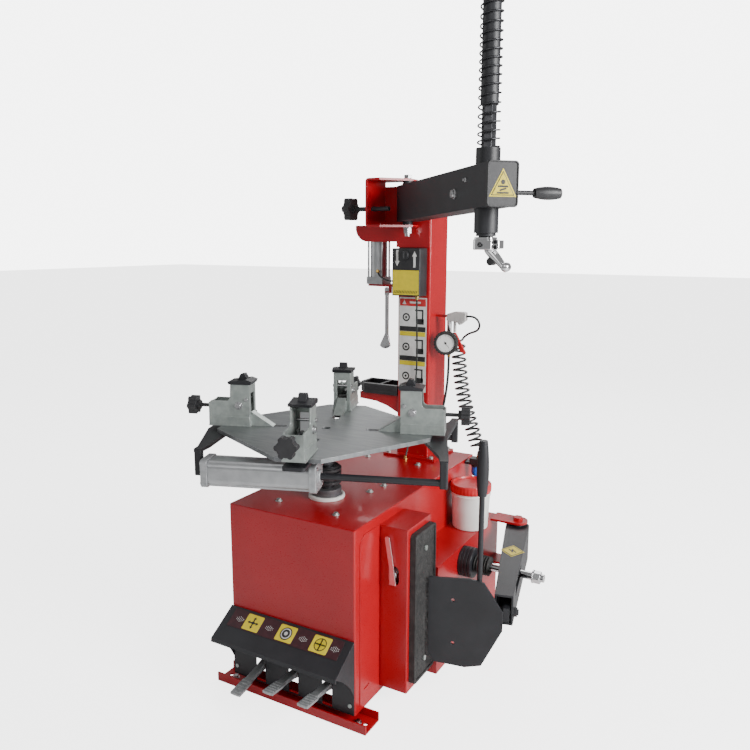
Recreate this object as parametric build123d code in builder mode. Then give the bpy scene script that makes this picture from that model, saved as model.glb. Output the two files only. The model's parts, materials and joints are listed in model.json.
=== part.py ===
"""Swing-arm tyre changer with a pneumatic bead breaker and four motorcycle adaptor jaws.

Millimetres.  Origin: on the floor, at the centre of the four anchor-bolt holes.
+X is the operator's right, +Y points to the back of the machine, +Z is up.
"""
import os
from math import cos, pi, radians, sin, tan

from build123d import *

os.makedirs("parts", exist_ok=True)

# ---------------------------------------------------------------- driving dimensions
CAB_W, CAB_D, CAB_H = 450.0, 870.0, 600.0      # cabinet width, depth, top height
CAB_FLOOR = 28.0                               # underside of the cabinet, on the feet
SHEET = 3.0                                    # cabinet sheet thickness
FRONT, RIGHT = -CAB_D / 2, CAB_W / 2           # front and right faces of the cabinet
ANCHOR_X, ANCHOR_Y, ANCHOR_R = 504.0, 840.0, 6.5

HUB = (0.0, -232.0)                            # turntable axis
TABLE_TOP, TABLE_T = 822.0, 12.0
TABLE_ANGLE = 20.0                             # where the right jaw points at rest
TABLE_CYL_V, TABLE_CYL_Z = 240.0, 745.0        # jaw cylinders beside the hub

COL = (38.0, 362.0)                            # column centre
COL_W, COL_D, COL_T, COL_TOP = 130.0, 146.0, 5.0, 1480.0
ARM_PIVOT = (37.0, 236.0)
ARM_ANGLE = -47.36                             # swung out from straight ahead, -90
ARM_REACH, ARM_LEN, ARM_W = 738.0, 831.0, 75.0
ARM_TOP, ARM_BOT_REAR, ARM_BOT_TIP = 1580.0, 1459.0, 1477.0
LOCK_V, LOCK_Z, LOCK_HALF = 49.0, 1515.0, 9.0   # lock lever pin beside the arm
HEX_AF = 32.0                                  # hexagon shaft, across flats
SHAFT_TOP, TUBE_LOW = 2042.0, 1723.0
SLEEVE_R, SLEEVE_TOP, SLEEVE_LOW = 30.5, 1621.0, 1415.0
LIFT_X, LIFT_Y = -126.0, 325.0                 # lift cylinder axis

BEAD_PIVOT = (435.0, 355.0)
BEAD_ANGLE = -75.7
BEAD_LEN, BLADE_AT, BLADE_Z = 494.0, 508.0, 300.0   # arm tip, blade plane, blade hinge height
BEAD_ROD_Y, BEAD_ROD_Z, BEAD_ROD_R = 65.0, 345.0, 12.5
SHELF_Z, SHELF_X, SHELF_Y0, SHELF_Y1 = 400.0, 345.0, -135.0, 320.0
PAD_X0, PAD_Y0, PAD_Y1, PAD_Z0, PAD_Z1 = 318.0, -290.0, -135.0, 48.0, 570.0
PEDAL_X = (-116.0, 8.0, 130.0)
PEDAL_SHAFT_Y, PEDAL_SHAFT_Z, PEDAL_SHAFT_R = -385.0, 90.0, 8.0
CYL_BORE = 34.0                                # jaw cylinder bore radius
CYL_REAR, CYL_FRONT = -300.0, 36.0             # ends of the jaw cylinders along the right jaw
JAW_ROD_R = 10.0                               # jaw and lift cylinder rods
MOTOR_Z = 470.0                                # worm gearbox and motor centre height
VALVE_Y = -240.0                               # row of pedal valves
TRAY_BASE, TRAY_Y = 825.3, 350.0               # tool tray underside and pocket row
KNOB_X, KNOB_Z, KNOB_R = 31.0, 1345.0, 17.0    # lift valve knob
STOP_Y, STOP_Z, STOP_R = 180.0, 1503.0, 8.0    # stop screw axis and radius
PIVOT_R = 9.9                                  # swing arm pivot bolt
BRACKET_LOW, BRACKET_TOP = 1441.0, 1605.0      # outer faces of the arm bracket's flanges
BRACKET_T, BRACKET_WEB, BRACKET_Y = 8.0, -80.0, 276.0   # its sheet, web face and plate face
LEVER_X, LEVER_PIN_Z = -64.0, 1212.0           # pin that a tyre lever hangs from
PAD_BOLTS = ((-205.0, 130.0), (-205.0, 490.0))
FRL = (265.0, 365.0)                           # filter and lubricator unit
BUCKET = (299.0, 235.0)
GUN_X, GUN_Y, GAUGE_Z = 156.0, 343.0, 1036.0   # inflator stem axis and dial height
TRIGGER_PIN = (180.0, 1063.0)                  # X and Z of the inflator lever's pin

GAP = 0.4                                      # air between bodies that move past each other
RUN = 0.05                                     # radial running clearance of a shaft


def direction(degrees):
    """Unit vector in the floor plane."""
    return (cos(radians(degrees)), sin(radians(degrees)), 0.0)


def flat_plane(origin, degrees, height):
    """Horizontal plane at a height whose X runs at an angle in the floor plane."""
    return Plane(origin=(origin[0], origin[1], height), x_dir=direction(degrees), z_dir=(0, 0, 1))


def upright_plane(origin, degrees, offset=0.0):
    """Vertical plane: local X runs at an angle in the floor plane, local Y is up."""
    normal = direction(degrees - 90)
    start = (origin[0] + normal[0] * offset, origin[1] + normal[1] * offset, 0)
    return Plane(origin=start, x_dir=direction(degrees), z_dir=normal)


def cross_plane(origin, degrees, along, height=0.0):
    """Vertical plane square to a direction, at a distance along it; its normal points along it."""
    d = direction(degrees)
    start = (origin[0] + d[0] * along, origin[1] + d[1] * along, height)
    return Plane(origin=start, x_dir=direction(degrees + 90), z_dir=d)


def save(part, label):
    """Label a finished piece and write its STEP file."""
    part.label = label
    export_step(part, f"parts/{label}.step")


# ---------------------------------------------------------------- cabinet and its fixed pieces
def cabinet_shell():
    """Folded and welded sheet cabinet, open below, with the pedal, hub and cylinder openings."""
    with BuildPart() as cabinet:
        with BuildSketch(Plane.XY.offset(CAB_FLOOR)):
            RectangleRounded(CAB_W, CAB_D, 5)
        extrude(amount=CAB_H - CAB_FLOOR)
        fillet(cabinet.faces().sort_by(Axis.Z)[-1].edges(), radius=3)
        with BuildSketch(Plane.XY.offset(CAB_FLOOR)):
            RectangleRounded(CAB_W - 2 * SHEET, CAB_D - 2 * SHEET, 3)
        extrude(amount=CAB_H - CAB_FLOOR - SHEET, mode=Mode.SUBTRACT)
        # hole for the hub, opening for the pedals, hole for the bead cylinder
        with BuildSketch(Plane.XY.offset(CAB_H)):
            with Locations(HUB):
                Circle(42)
        extrude(amount=-10, mode=Mode.SUBTRACT)
        with BuildSketch(Plane.XZ.offset(-FRONT)):
            with Locations((0, 105)):
                Rectangle(360, 130)
        extrude(amount=-10, mode=Mode.SUBTRACT)
        with BuildSketch(Plane.YZ.offset(RIGHT)):
            with Locations((BEAD_ROD_Y, BEAD_ROD_Z)):
                Circle(57)
        extrude(amount=-10, mode=Mode.SUBTRACT)
    save(cabinet.part, "cabinet_shell")


def base_feet():
    """Two floor channels, open upwards, with an anchor hole near each end."""
    wall = 5
    with BuildPart() as feet:
        for y in (-ANCHOR_Y / 2, ANCHOR_Y / 2):
            with BuildSketch(Plane.XY):
                with Locations((0, y)):
                    Rectangle(ANCHOR_X + 46, 80)
                with Locations((-ANCHOR_X / 2, y), (ANCHOR_X / 2, y)):
                    Circle(ANCHOR_R, mode=Mode.SUBTRACT)
            extrude(amount=wall)
            with BuildSketch(Plane.XY.offset(wall)):
                with Locations((0, y - 37.5), (0, y + 37.5)):
                    Rectangle(ANCHOR_X + 46, wall)
            extrude(amount=CAB_FLOOR - wall)
    save(feet.part, "base_feet")


def fasteners():
    """Screws and bolts of the fixed body: top plate, pedal cover, column base, pad and hood."""
    top_bolts = [(-104, -343), (113, -355), (99, -130), (-99, -130), (109, -56), (104, 207), (-104, 207)]
    with BuildPart() as bolts:
        with BuildSketch(Plane.XY.offset(CAB_H)):
            with Locations(top_bolts):
                Circle(11)
        extrude(amount=2)
        with BuildSketch(Plane.XY.offset(CAB_H + 2)):
            with Locations(top_bolts):
                RegularPolygon(7.5, 6)
        extrude(amount=6)
        with BuildSketch(Plane.XZ.offset(-FRONT + 3)):
            with Locations((-210, 60), (-210, 232), (210, 60), (210, 232)):
                Circle(6)
        extrude(amount=3)
        with BuildSketch(Plane.YZ.offset(PAD_X0 + 16)):
            with Locations(*PAD_BOLTS):
                Circle(8)
        extrude(amount=5)
        with BuildSketch(Plane.XY.offset(CAB_H + 10)):
            with Locations((-50, 270), (125, 270), (125, 420), (-50, 420)):
                RegularPolygon(9, 6)
        extrude(amount=8)
    save(bolts.part, "fasteners")


def pedal_hood():
    """Black sloping hood over the pedals, with curved cheeks at both ends."""
    top, lip_y, lip_z = 265.0, FRONT - 103, 190.0
    with BuildPart() as hood:
        with BuildSketch(Plane.YZ.offset(-CAB_W / 2)):
            with BuildLine():
                Polyline((FRONT - 3, top), (lip_y, lip_z + 12), (lip_y - 2, lip_z), (lip_y + 2, lip_z))
                Line((lip_y + 2, lip_z), (lip_y + 4, lip_z + 8))
                Line((lip_y + 4, lip_z + 8), (FRONT - 3, top - 5))
                Line((FRONT - 3, top - 5), (FRONT - 3, top))
            make_face()
        extrude(amount=CAB_W)
        for x in (-CAB_W / 2, CAB_W / 2 - 3):
            with BuildSketch(Plane.YZ.offset(x)):
                with BuildLine():
                    Line((FRONT - 3, top - 1), (lip_y, lip_z + 10))
                    ThreePointArc((lip_y, lip_z + 10), (FRONT - 42, 152), (FRONT - 3, 92))
                    Line((FRONT - 3, 92), (FRONT - 3, top - 1))
                make_face()
            extrude(amount=3)
    save(hood.part, "pedal_hood")


def pedal_cover():
    """Black front plate with one upright slot for each pedal."""
    with BuildPart() as cover:
        with BuildSketch(Plane.XZ.offset(-FRONT)):
            with Locations((0, 147)):
                Rectangle(CAB_W - 4, 232)
            for x in PEDAL_X:
                with Locations((x, 76)):
                    Rectangle(36, 86, mode=Mode.SUBTRACT)
        extrude(amount=3)
        fillet(cover.edges().filter_by(Axis.Y).group_by(Axis.Z)[-1], radius=6)
    save(cover.part, "pedal_cover")


def side_cover():
    """Removable service panel on the front part of the right side."""
    with BuildPart() as panel:
        with BuildSketch(Plane.YZ.offset(RIGHT)):
            with BuildLine():
                Polyline((-408, 46), (-296, 46), (-296, 572), (-384, 572), (-408, 548), close=True)
            make_face()
        extrude(amount=2)
        with BuildSketch(Plane.YZ.offset(RIGHT + 2)):
            with Locations((-372, 92)):
                SlotOverall(30, 8)
        extrude(amount=-3, mode=Mode.SUBTRACT)
    save(panel.part, "side_cover")


def pad_box():
    """Welded box beside the wheel pad, open behind, with an oval slot that holds a tyre lever."""
    width, wall = PAD_X0 - RIGHT, 2.5
    centre = ((RIGHT + PAD_X0) / 2, (PAD_Y0 + PAD_Y1) / 2)
    with BuildPart() as box:
        with BuildSketch(Plane.XY.offset(PAD_Z0)):
            with Locations(centre):
                Rectangle(width, PAD_Y1 - PAD_Y0)
        extrude(amount=PAD_Z1 - PAD_Z0)
        fillet(box.edges().filter_by(Axis.Z).sort_by(Axis.Y)[:2], radius=3)
        with BuildSketch(Plane.XZ.offset(-PAD_Y1)):
            with Locations((centre[0], (PAD_Z0 + PAD_Z1) / 2)):
                Rectangle(width - 2 * wall, PAD_Z1 - PAD_Z0 - 2 * wall)
        extrude(amount=PAD_Y1 - PAD_Y0 - wall, mode=Mode.SUBTRACT)
        with BuildSketch(Plane.XZ.offset(-PAD_Y0)):
            with Locations((273, 419)):
                SlotOverall(62, 34, rotation=90)
        extrude(amount=-10, mode=Mode.SUBTRACT)
    save(box.part, "pad_box")


def bead_pad():
    """Thick ribbed rubber pad that the wheel leans on."""
    with BuildPart() as pad:
        with BuildSketch(Plane.YZ.offset(PAD_X0)):
            with Locations(((PAD_Y0 + PAD_Y1) / 2 + 7, 312)):
                RectangleRounded(140, 476, 12)
        extrude(amount=20)
        with BuildSketch(Plane.YZ.offset(PAD_X0 + 20)):
            with Locations(*PAD_BOLTS):
                Circle(8.2)
        extrude(amount=-4, mode=Mode.SUBTRACT)
    save(pad.part, "bead_pad")


def cylinder_housing():
    """Red shelf housing of the bead cylinder, with the two rear lugs of the arm's pivot pin."""
    lug_y0, lug_y1 = 320.0, 395.0
    with BuildPart() as housing:
        # folded top and the front and rear walls
        with BuildSketch(Plane.XY.offset(SHELF_Z - SHEET)):
            with Locations(((RIGHT + SHELF_X) / 2, (SHELF_Y0 + SHELF_Y1) / 2 + 36)):
                Rectangle(SHELF_X - RIGHT, SHELF_Y1 - SHELF_Y0 + 72)
        extrude(amount=SHEET)
        for y in (SHELF_Y0 + 2, lug_y1 - SHEET):
            with BuildSketch(Plane.XZ.offset(-y)):
                with Locations(((RIGHT + SHELF_X) / 2, 217)):
                    Rectangle(SHELF_X - RIGHT, 362)
            extrude(amount=-SHEET)
        # outer wall with the cylinder's mouth
        with BuildSketch(Plane.YZ.offset(SHELF_X - SHEET)):
            with Locations(((SHELF_Y0 + lug_y1) / 2 + 1, 217)):
                Rectangle(lug_y1 - SHELF_Y0 - 2, 362)
            with Locations((BEAD_ROD_Y, BEAD_ROD_Z)):
                Circle(48, mode=Mode.SUBTRACT)
        extrude(amount=SHEET)
        # pivot lugs
        for z in (SHELF_Z + 6, 246.0):
            with BuildSketch(Plane.XY.offset(z - 8)):
                with BuildLine():
                    Line((SHELF_X - 1, lug_y0), (BEAD_PIVOT[0], lug_y0))
                    ThreePointArc((BEAD_PIVOT[0], lug_y0), (BEAD_PIVOT[0] + 35, BEAD_PIVOT[1]),
                                  (BEAD_PIVOT[0], 392))
                    Line((BEAD_PIVOT[0], 392), (SHELF_X - 1, 392))
                    Line((SHELF_X - 1, 392), (SHELF_X - 1, lug_y0))
                make_face()
            extrude(amount=8)
        # pivot pin with its head and nut
        with BuildSketch(Plane.XY.offset(222)):
            with Locations(BEAD_PIVOT):
                Circle(12)
        extrude(amount=190)
        with BuildSketch(Plane.XY.offset(SHELF_Z + 6)):
            with Locations(BEAD_PIVOT):
                RegularPolygon(18, 6)
        extrude(amount=12)
        with BuildSketch(Plane.XY.offset(222)):
            with Locations(BEAD_PIVOT):
                RegularPolygon(18, 6)
        extrude(amount=16)
    save(housing.part, "cylinder_housing")


def bead_cylinder():
    """Double-acting bead breaker cylinder lying across the machine, with its ribbed nose boot."""
    centre = (BEAD_ROD_Y, BEAD_ROD_Z)
    rings = [(80, 345, 47), (345, 390, 50)]
    rings += [(390 + 10 * i, 396 + 10 * i, 32) for i in range(6)]
    rings += [(390, 447, 27)]
    with BuildPart() as cylinder:
        for start, end, radius in rings:
            with BuildSketch(Plane.YZ.offset(start)):
                with Locations(centre):
                    Circle(radius)
            extrude(amount=end - start)
        # bore for the piston and the rod
        with BuildSketch(Plane.YZ.offset(86)):
            with Locations(centre):
                Circle(42)
        extrude(amount=246, mode=Mode.SUBTRACT)
        with BuildSketch(Plane.YZ.offset(300)):
            with Locations(centre):
                Circle(BEAD_ROD_R + RUN)
        extrude(amount=180, mode=Mode.SUBTRACT)
    save(cylinder.part, "bead_cylinder")


def gearbox():
    """Worm gearbox under the top plate, with the turntable hub bearing standing through it."""
    with BuildPart() as gear:
        with BuildSketch(Plane.XY.offset(418)):
            with Locations(HUB):
                RectangleRounded(220, 200, 24)
        extrude(amount=120)
        with BuildSketch(Plane.XY.offset(530)):
            with Locations(HUB):
                Circle(40)
        extrude(amount=86)
        # flange that seats on the top plate, and the bearing nose
        with BuildSketch(Plane.XY.offset(CAB_H)):
            with Locations(HUB):
                Circle(54)
        extrude(amount=11)
        with BuildSketch(Plane.XY.offset(CAB_H + 11)):
            with Locations(HUB):
                Circle(47)
        extrude(amount=22)
        fillet(gear.faces().sort_by(Axis.Z)[-1].edges(), radius=3)
        with BuildSketch(Plane.XY.offset(424)):
            with Locations(HUB):
                Circle(25 + RUN)
        extrude(amount=300, mode=Mode.SUBTRACT)
        with BuildSketch(Plane.XZ.offset(-(HUB[1] + 60))):
            with Locations((HUB[0], MOTOR_Z)):
                Circle(46)
        extrude(amount=-60)
    save(gear.part, "gearbox")


def motor():
    """Flange motor on the worm gearbox, lying towards the back of the cabinet."""
    start = HUB[1] + 120
    with BuildPart() as drive:
        with BuildSketch(Plane.XZ.offset(-start)):
            with Locations((HUB[0], MOTOR_Z)):
                Circle(72)
        extrude(amount=-12)
        with BuildSketch(Plane.XZ.offset(-(start + 12))):
            with Locations((HUB[0], MOTOR_Z)):
                Circle(66)
        extrude(amount=-200)
        with BuildSketch(Plane.XZ.offset(-(start + 30))):
            with Locations((HUB[0], MOTOR_Z)):
                with PolarLocations(66, 16):
                    Rectangle(10, 3)
        extrude(amount=-160)
        with BuildSketch(Plane.XZ.offset(-(start + 212))):
            with Locations((HUB[0], MOTOR_Z)):
                Circle(60)
        extrude(amount=-45)
    save(drive.part, "motor")


# ---------------------------------------------------------------- pedals
def pedal(x, label, tilt):
    """Cast foot pedal on the common shaft, its tread reaching out through the front slot."""
    out = (0, -cos(radians(tilt)), sin(radians(tilt)))
    up = (0, sin(radians(tilt)), cos(radians(tilt)))
    side = Plane(origin=(x, PEDAL_SHAFT_Y, PEDAL_SHAFT_Z), x_dir=out, z_dir=(-1, 0, 0))
    top = Plane(origin=(x, PEDAL_SHAFT_Y, PEDAL_SHAFT_Z), x_dir=out, z_dir=up)
    with BuildPart() as lever:
        with BuildSketch(side):
            with BuildLine():
                Line((0, 16), (66, 12))
                Line((66, 12), (180, 6))
                Line((180, 6), (180, 0))
                Line((180, 0), (60, -4))
                Line((60, -4), (0, -16))
                ThreePointArc((0, -16), (-16, 0), (0, 16))
            make_face()
        extrude(amount=11, both=True)
        # tread plate, wider towards its tip, with cross ribs
        with BuildSketch(top.offset(1)):
            with BuildLine():
                Polyline((112, -14), (130, -18), (180, -18), (180, 18), (130, 18), (112, 14), close=True)
            make_face()
        extrude(amount=7)
        with BuildSketch(top.offset(8)):
            with Locations(*[(122 + 12 * i, 0) for i in range(5)]):
                SlotOverall(30, 4, rotation=90)
        extrude(amount=2)
        with BuildSketch(Plane.YZ.offset(x - 20)):
            with Locations((PEDAL_SHAFT_Y, PEDAL_SHAFT_Z)):
                Circle(PEDAL_SHAFT_R + RUN)
        extrude(amount=40, mode=Mode.SUBTRACT)
    save(lever.part, label)


def pedal_box():
    """Pedal shaft in its two side brackets, and the row of pedal-operated air valves behind it."""
    inner = CAB_W / 2 - SHEET
    with BuildPart() as box:
        with BuildSketch(Plane.YZ.offset(-inner)):
            with Locations((PEDAL_SHAFT_Y, PEDAL_SHAFT_Z)):
                Circle(PEDAL_SHAFT_R)
        extrude(amount=2 * inner)
        for x in (-inner, inner - 6):
            with BuildSketch(Plane.YZ.offset(x)):
                with BuildLine():
                    Polyline((-425, 40), (-180, 40), (-200, 60), (-360, 120), (-405, 120), close=True)
                make_face()
            extrude(amount=6)
        with BuildSketch(Plane.XY.offset(40)):
            with Locations((0, VALVE_Y)):
                Rectangle(2 * inner, 70)
        extrude(amount=5)
        with BuildSketch(Plane.XY.offset(45)):
            with Locations(*[(x, VALVE_Y) for x in PEDAL_X]):
                RectangleRounded(46, 50, 5)
        extrude(amount=70)
        with BuildSketch(Plane.XY.offset(115)):
            with Locations(*[(x, VALVE_Y) for x in PEDAL_X]):
                Circle(9)
        extrude(amount=18)
    save(box.part, "pedal_box")


# ---------------------------------------------------------------- column
def column():
    """Welded box column with base plate, tray bracket and the lift cylinder's lower bracket."""
    left, front = COL[0] - COL_W / 2, COL[1] - COL_D / 2
    with BuildPart() as post:
        with BuildSketch(Plane.XY.offset(CAB_H)):
            with Locations((COL[0], COL[1] - 15)):
                Rectangle(210, 175)
        extrude(amount=10)
        with BuildSketch(Plane.XY.offset(CAB_H)):
            with Locations(COL):
                RectangleRounded(COL_W, COL_D, 8)
        extrude(amount=COL_TOP - CAB_H)
        with BuildSketch(Plane.XY.offset(CAB_H + 12)):
            with Locations(COL):
                RectangleRounded(COL_W - 2 * COL_T, COL_D - 2 * COL_T, 4)
        extrude(amount=COL_TOP - CAB_H, mode=Mode.SUBTRACT)
        # tray bracket: a shallow channel with a gusset down the column's side
        with BuildSketch(Plane.XZ.offset(-(front + 6))):
            with BuildLine():
                Polyline((left, 820), (-190, 820), (-190, 800), (-120, 795), (-72, 782), (left, 760), close=True)
            make_face()
        extrude(amount=-5)
        with BuildSketch(Plane.XY.offset(820)):
            with Locations(((left - 190) / 2, 345)):
                Rectangle(190 + left, 104)
        extrude(amount=5)
        # lift cylinder bracket
        with BuildSketch(Plane.XY.offset(1229)):
            with BuildLine():
                Polyline((left, 296), (-150, 296), (-162, 308), (-162, 346), (-150, 358), (left, 358), close=True)
            make_face()
        extrude(amount=8)
        # hook bar of the inflator on the right side
        with BuildSketch(Plane.YZ.offset(COL[0] + COL_W / 2 - 1)):
            with Locations((348, 1128)):
                Rectangle(16, 8)
        extrude(amount=45)
        # tab and pin that a tyre lever hangs from
        with BuildSketch(Plane.XZ.offset(-301)):
            with Locations((LEVER_X, LEVER_PIN_Z + 8)):
                Rectangle(14, 30)
        extrude(amount=4)
        with BuildSketch(Plane.XZ.offset(-298)):
            with Locations((LEVER_X, LEVER_PIN_Z)):
                Circle(2.5)
        extrude(amount=36)
    save(post.part, "column")


def tool_tray():
    """Ribbed black plastic tray beside the column, with one cut corner and two pockets."""
    left, right, front, back = -199.0, -28.0, 286.0, 400.0
    base, top = TRAY_BASE, 862.0
    with BuildPart() as tray:
        for low, high, grow in ((base, top, 0), (base + 7, base + 11, 1), (base + 18, base + 22, 1)):
            with BuildSketch(Plane.XY.offset(low)):
                with BuildLine():
                    Polyline((right, front - grow), (-166, front - grow), (left - grow, 320), (left - grow, back),
                             (right, back), close=True)
                make_face()
            extrude(amount=high - low)
        for pocket_x, pocket_w in ((-148, 76), (-67, 66)):
            with BuildSketch(Plane.XY.offset(top)):
                with Locations((pocket_x, TRAY_Y)):
                    RectangleRounded(pocket_w, 88, 6)
            extrude(amount=-30, mode=Mode.SUBTRACT)
    save(tray.part, "tool_tray")


def control_box():
    """Lift valve box on the column's front face."""
    with BuildPart() as box:
        with BuildSketch(Plane.XY.offset(1203)):
            with Locations((35, 259.5)):
                RectangleRounded(110, 59, 4)
        extrude(amount=166)
        fillet(box.faces().sort_by(Axis.Z)[-1].edges(), radius=2)
        with BuildSketch(Plane.XZ.offset(-230)):
            with Locations((KNOB_X, KNOB_Z)):
                Circle(8 + RUN)
        extrude(amount=-24, mode=Mode.SUBTRACT)
    save(box.part, "control_box")


def valve_knob():
    """Rotary lift valve knob with a pointer ridge."""
    with BuildPart() as knob:
        with BuildSketch(Plane.XZ.offset(-252)):
            with Locations((KNOB_X, KNOB_Z)):
                Circle(8)
        extrude(amount=22.6)
        with BuildSketch(Plane.XZ.offset(-229.4)):
            with Locations((KNOB_X, KNOB_Z)):
                Circle(KNOB_R)
        extrude(amount=11)
        fillet(knob.faces().sort_by(Axis.Y)[0].edges(), radius=2)
        with BuildSketch(Plane.XZ.offset(-218.4)):
            with Locations((KNOB_X, KNOB_Z)):
                SlotOverall(30, 7, rotation=90)
        extrude(amount=6)
    save(knob.part, "valve_knob")


def lift_cylinder():
    """Tie-rod air cylinder beside the column that lifts the arm."""
    low, high, half, cap, tie_pitch = 1237.0, 1425.0, 35.0, 26.0, 56.0
    with BuildPart() as cylinder:
        for z in (low, high - cap):
            with BuildSketch(Plane.XY.offset(z)):
                with Locations((LIFT_X, LIFT_Y)):
                    RectangleRounded(2 * half, 2 * half, 6)
            extrude(amount=cap)
        with BuildSketch(Plane.XY.offset(low + 20)):
            with Locations((LIFT_X, LIFT_Y)):
                Circle(31)
        extrude(amount=high - low - 40)
        with BuildSketch(Plane.XY.offset(low + 20)):
            with Locations((LIFT_X, LIFT_Y)):
                with GridLocations(tie_pitch, tie_pitch, 2, 2):
                    Circle(3.5)
        extrude(amount=high - low - 40)
        with BuildSketch(Plane.XY.offset(high)):
            with Locations((LIFT_X, LIFT_Y)):
                with GridLocations(tie_pitch, tie_pitch, 2, 2):
                    RegularPolygon(6, 6)
        extrude(amount=6)
        with BuildSketch(Plane.XY.offset(low + cap)):
            with Locations((LIFT_X, LIFT_Y)):
                Circle(27)
        extrude(amount=high - low - 2 * cap, mode=Mode.SUBTRACT)
        with BuildSketch(Plane.XY.offset(low + 60)):
            with Locations((LIFT_X, LIFT_Y)):
                Circle(JAW_ROD_R + RUN)
        extrude(amount=high - low, mode=Mode.SUBTRACT)
    save(cylinder.part, "lift_cylinder")


def lift_rod():
    """Piston and rod of the lift cylinder, bolted to the arm bracket's ear."""
    sections = [(1266, 1290, 26.4), (1290, BRACKET_LOW, JAW_ROD_R), (BRACKET_LOW, BRACKET_LOW + BRACKET_T, 7.9)]
    with BuildPart() as rod:
        for start, end, radius in sections:
            with BuildSketch(Plane.XY.offset(start)):
                with Locations((LIFT_X, LIFT_Y)):
                    Circle(radius)
            extrude(amount=end - start)
        with BuildSketch(Plane.XY.offset(BRACKET_LOW + BRACKET_T)):
            with Locations((LIFT_X, LIFT_Y)):
                RegularPolygon(14, 6)
        extrude(amount=10)
    save(rod.part, "lift_rod")


def lift_post():
    """Square post that slides inside the column and carries the arm bracket."""
    low, top, wall = 1150.0, 1592.0, 6.0
    width, depth = 112.0, 129.0
    with BuildPart() as post:
        with BuildSketch(Plane.XY.offset(low)):
            with Locations(COL):
                RectangleRounded(width, depth, 6)
                RectangleRounded(width - 2 * wall, depth - 2 * wall, 3, mode=Mode.SUBTRACT)
        extrude(amount=top - low)
        with BuildSketch(Plane.XY.offset(top)):
            with Locations(COL):
                RectangleRounded(width, depth, 6)
        extrude(amount=5)
        # slide pads round the post
        for z in (low + 5, 1380):
            with BuildSketch(Plane.XY.offset(z)):
                with Locations(COL):
                    RectangleRounded(COL_W - 2 * COL_T - 1, COL_D - 2 * COL_T - 1, 5)
                    RectangleRounded(width - 2 * wall, depth - 2 * wall, 3, mode=Mode.SUBTRACT)
            extrude(amount=40)
    save(post.part, "lift_post")


def arm_bracket():
    """C-shaped pivot bracket with its apron plate and the ear over the lift cylinder."""
    plate_y, web_x, sheet = BRACKET_Y, BRACKET_WEB, BRACKET_T
    top, low, mouth = BRACKET_TOP, BRACKET_LOW, 61.0
    with BuildPart() as bracket:
        # web and flanges, folded with rounded outer corners
        with BuildSketch(Plane.XZ.offset(-145)):
            with Locations(((web_x + mouth) / 2, (top + low) / 2)):
                RectangleRounded(mouth - web_x, top - low, 12)
            with Locations(((web_x + mouth) / 2 + sheet, (top + low) / 2)):
                Rectangle(mouth - web_x, top - low - 2 * sheet, mode=Mode.SUBTRACT)
        extrude(amount=-(plate_y + 1 - 145))
        # the free edges of both flanges run back at a slant
        with BuildSketch(Plane.XY.offset(low - 1)):
            with BuildLine():
                Polyline((-25, 144), (57, 240), (60, 278), (80, 278), (80, 144), close=True)
            make_face()
        extrude(amount=top - low + 2, mode=Mode.SUBTRACT)
        # plate in front of the column, with the apron at its lower left
        with BuildSketch(Plane.XZ.offset(-plate_y)):
            with BuildLine():
                Polyline((-197, 1440), (-197, 1449), (web_x, 1449), (web_x, 1583), (60, 1583), (103, 1560),
                         (103, 1372), (-27, 1372), (-27, 1391), (-147, 1391))
                ThreePointArc((-147, 1391), (-182, 1405), (-197, 1440))
            make_face()
        extrude(amount=-sheet)
        # ear over the lift cylinder
        with BuildSketch(Plane.XY.offset(low)):
            with Locations((-138, 320)):
                Rectangle(118, 84)
            with Locations((LIFT_X, LIFT_Y)):
                Circle(8, mode=Mode.SUBTRACT)
        extrude(amount=8)
        # block between the plate and the lift post, above the column
        with BuildSketch(Plane.XY.offset(COL_TOP + 4)):
            with Locations((38, 290.75)):
                Rectangle(100, 13.5)
        extrude(amount=107)
        # pivot holes and the threaded boss of the stop screw
        with BuildSketch(Plane.XY.offset(low - 1)):
            with Locations(ARM_PIVOT):
                Circle(10)
        extrude(amount=top - low + 2, mode=Mode.SUBTRACT)
        with BuildSketch(Plane.YZ.offset(web_x - 8)):
            with Locations((STOP_Y, STOP_Z)):
                Circle(14)
        extrude(amount=10)
        with BuildSketch(Plane.YZ.offset(web_x - 9)):
            with Locations((STOP_Y, STOP_Z)):
                Circle(STOP_R + RUN)
        extrude(amount=20, mode=Mode.SUBTRACT)
    save(bracket.part, "arm_bracket")


def pivot_bolt():
    """Pivot bolt of the swing arm, with its head, washer and nut."""
    with BuildPart() as bolt:
        with BuildSketch(Plane.XY.offset(1410)):
            with Locations(ARM_PIVOT):
                Circle(PIVOT_R)
        extrude(amount=BRACKET_TOP + 1 - 1410)
        with BuildSketch(Plane.XY.offset(BRACKET_TOP)):
            with Locations(ARM_PIVOT):
                RegularPolygon(15, 6)
        extrude(amount=12)
        with BuildSketch(Plane.XY.offset(BRACKET_LOW - 3)):
            with Locations(ARM_PIVOT):
                Circle(18)
        extrude(amount=3)
        with BuildSketch(Plane.XY.offset(BRACKET_LOW - 21)):
            with Locations(ARM_PIVOT):
                RegularPolygon(15, 6)
        extrude(amount=18)
    save(bolt.part, "pivot_bolt")


def star_profile(radius):
    """Outline of a six-lobed grip."""
    with BuildSketch() as star:
        Circle(radius * 0.8)
        with PolarLocations(radius * 0.74, 6):
            Circle(radius * 0.26)
    return star.sketch


def stop_screw():
    """Stop screw of the arm, with its star knob outside the bracket."""
    axis = Plane.YZ.offset(-172)
    with BuildPart() as screw:
        with BuildSketch(axis):
            with Locations((STOP_Y, STOP_Z)):
                Circle(STOP_R)
        extrude(amount=172 - 5)
        with BuildSketch(axis):
            with Locations((STOP_Y, STOP_Z)):
                add(star_profile(42))
        extrude(amount=26)
        with BuildSketch(Plane.YZ.offset(-146)):
            with Locations((STOP_Y, STOP_Z)):
                Circle(14)
        extrude(amount=8)
    save(screw.part, "stop_screw")


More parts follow.
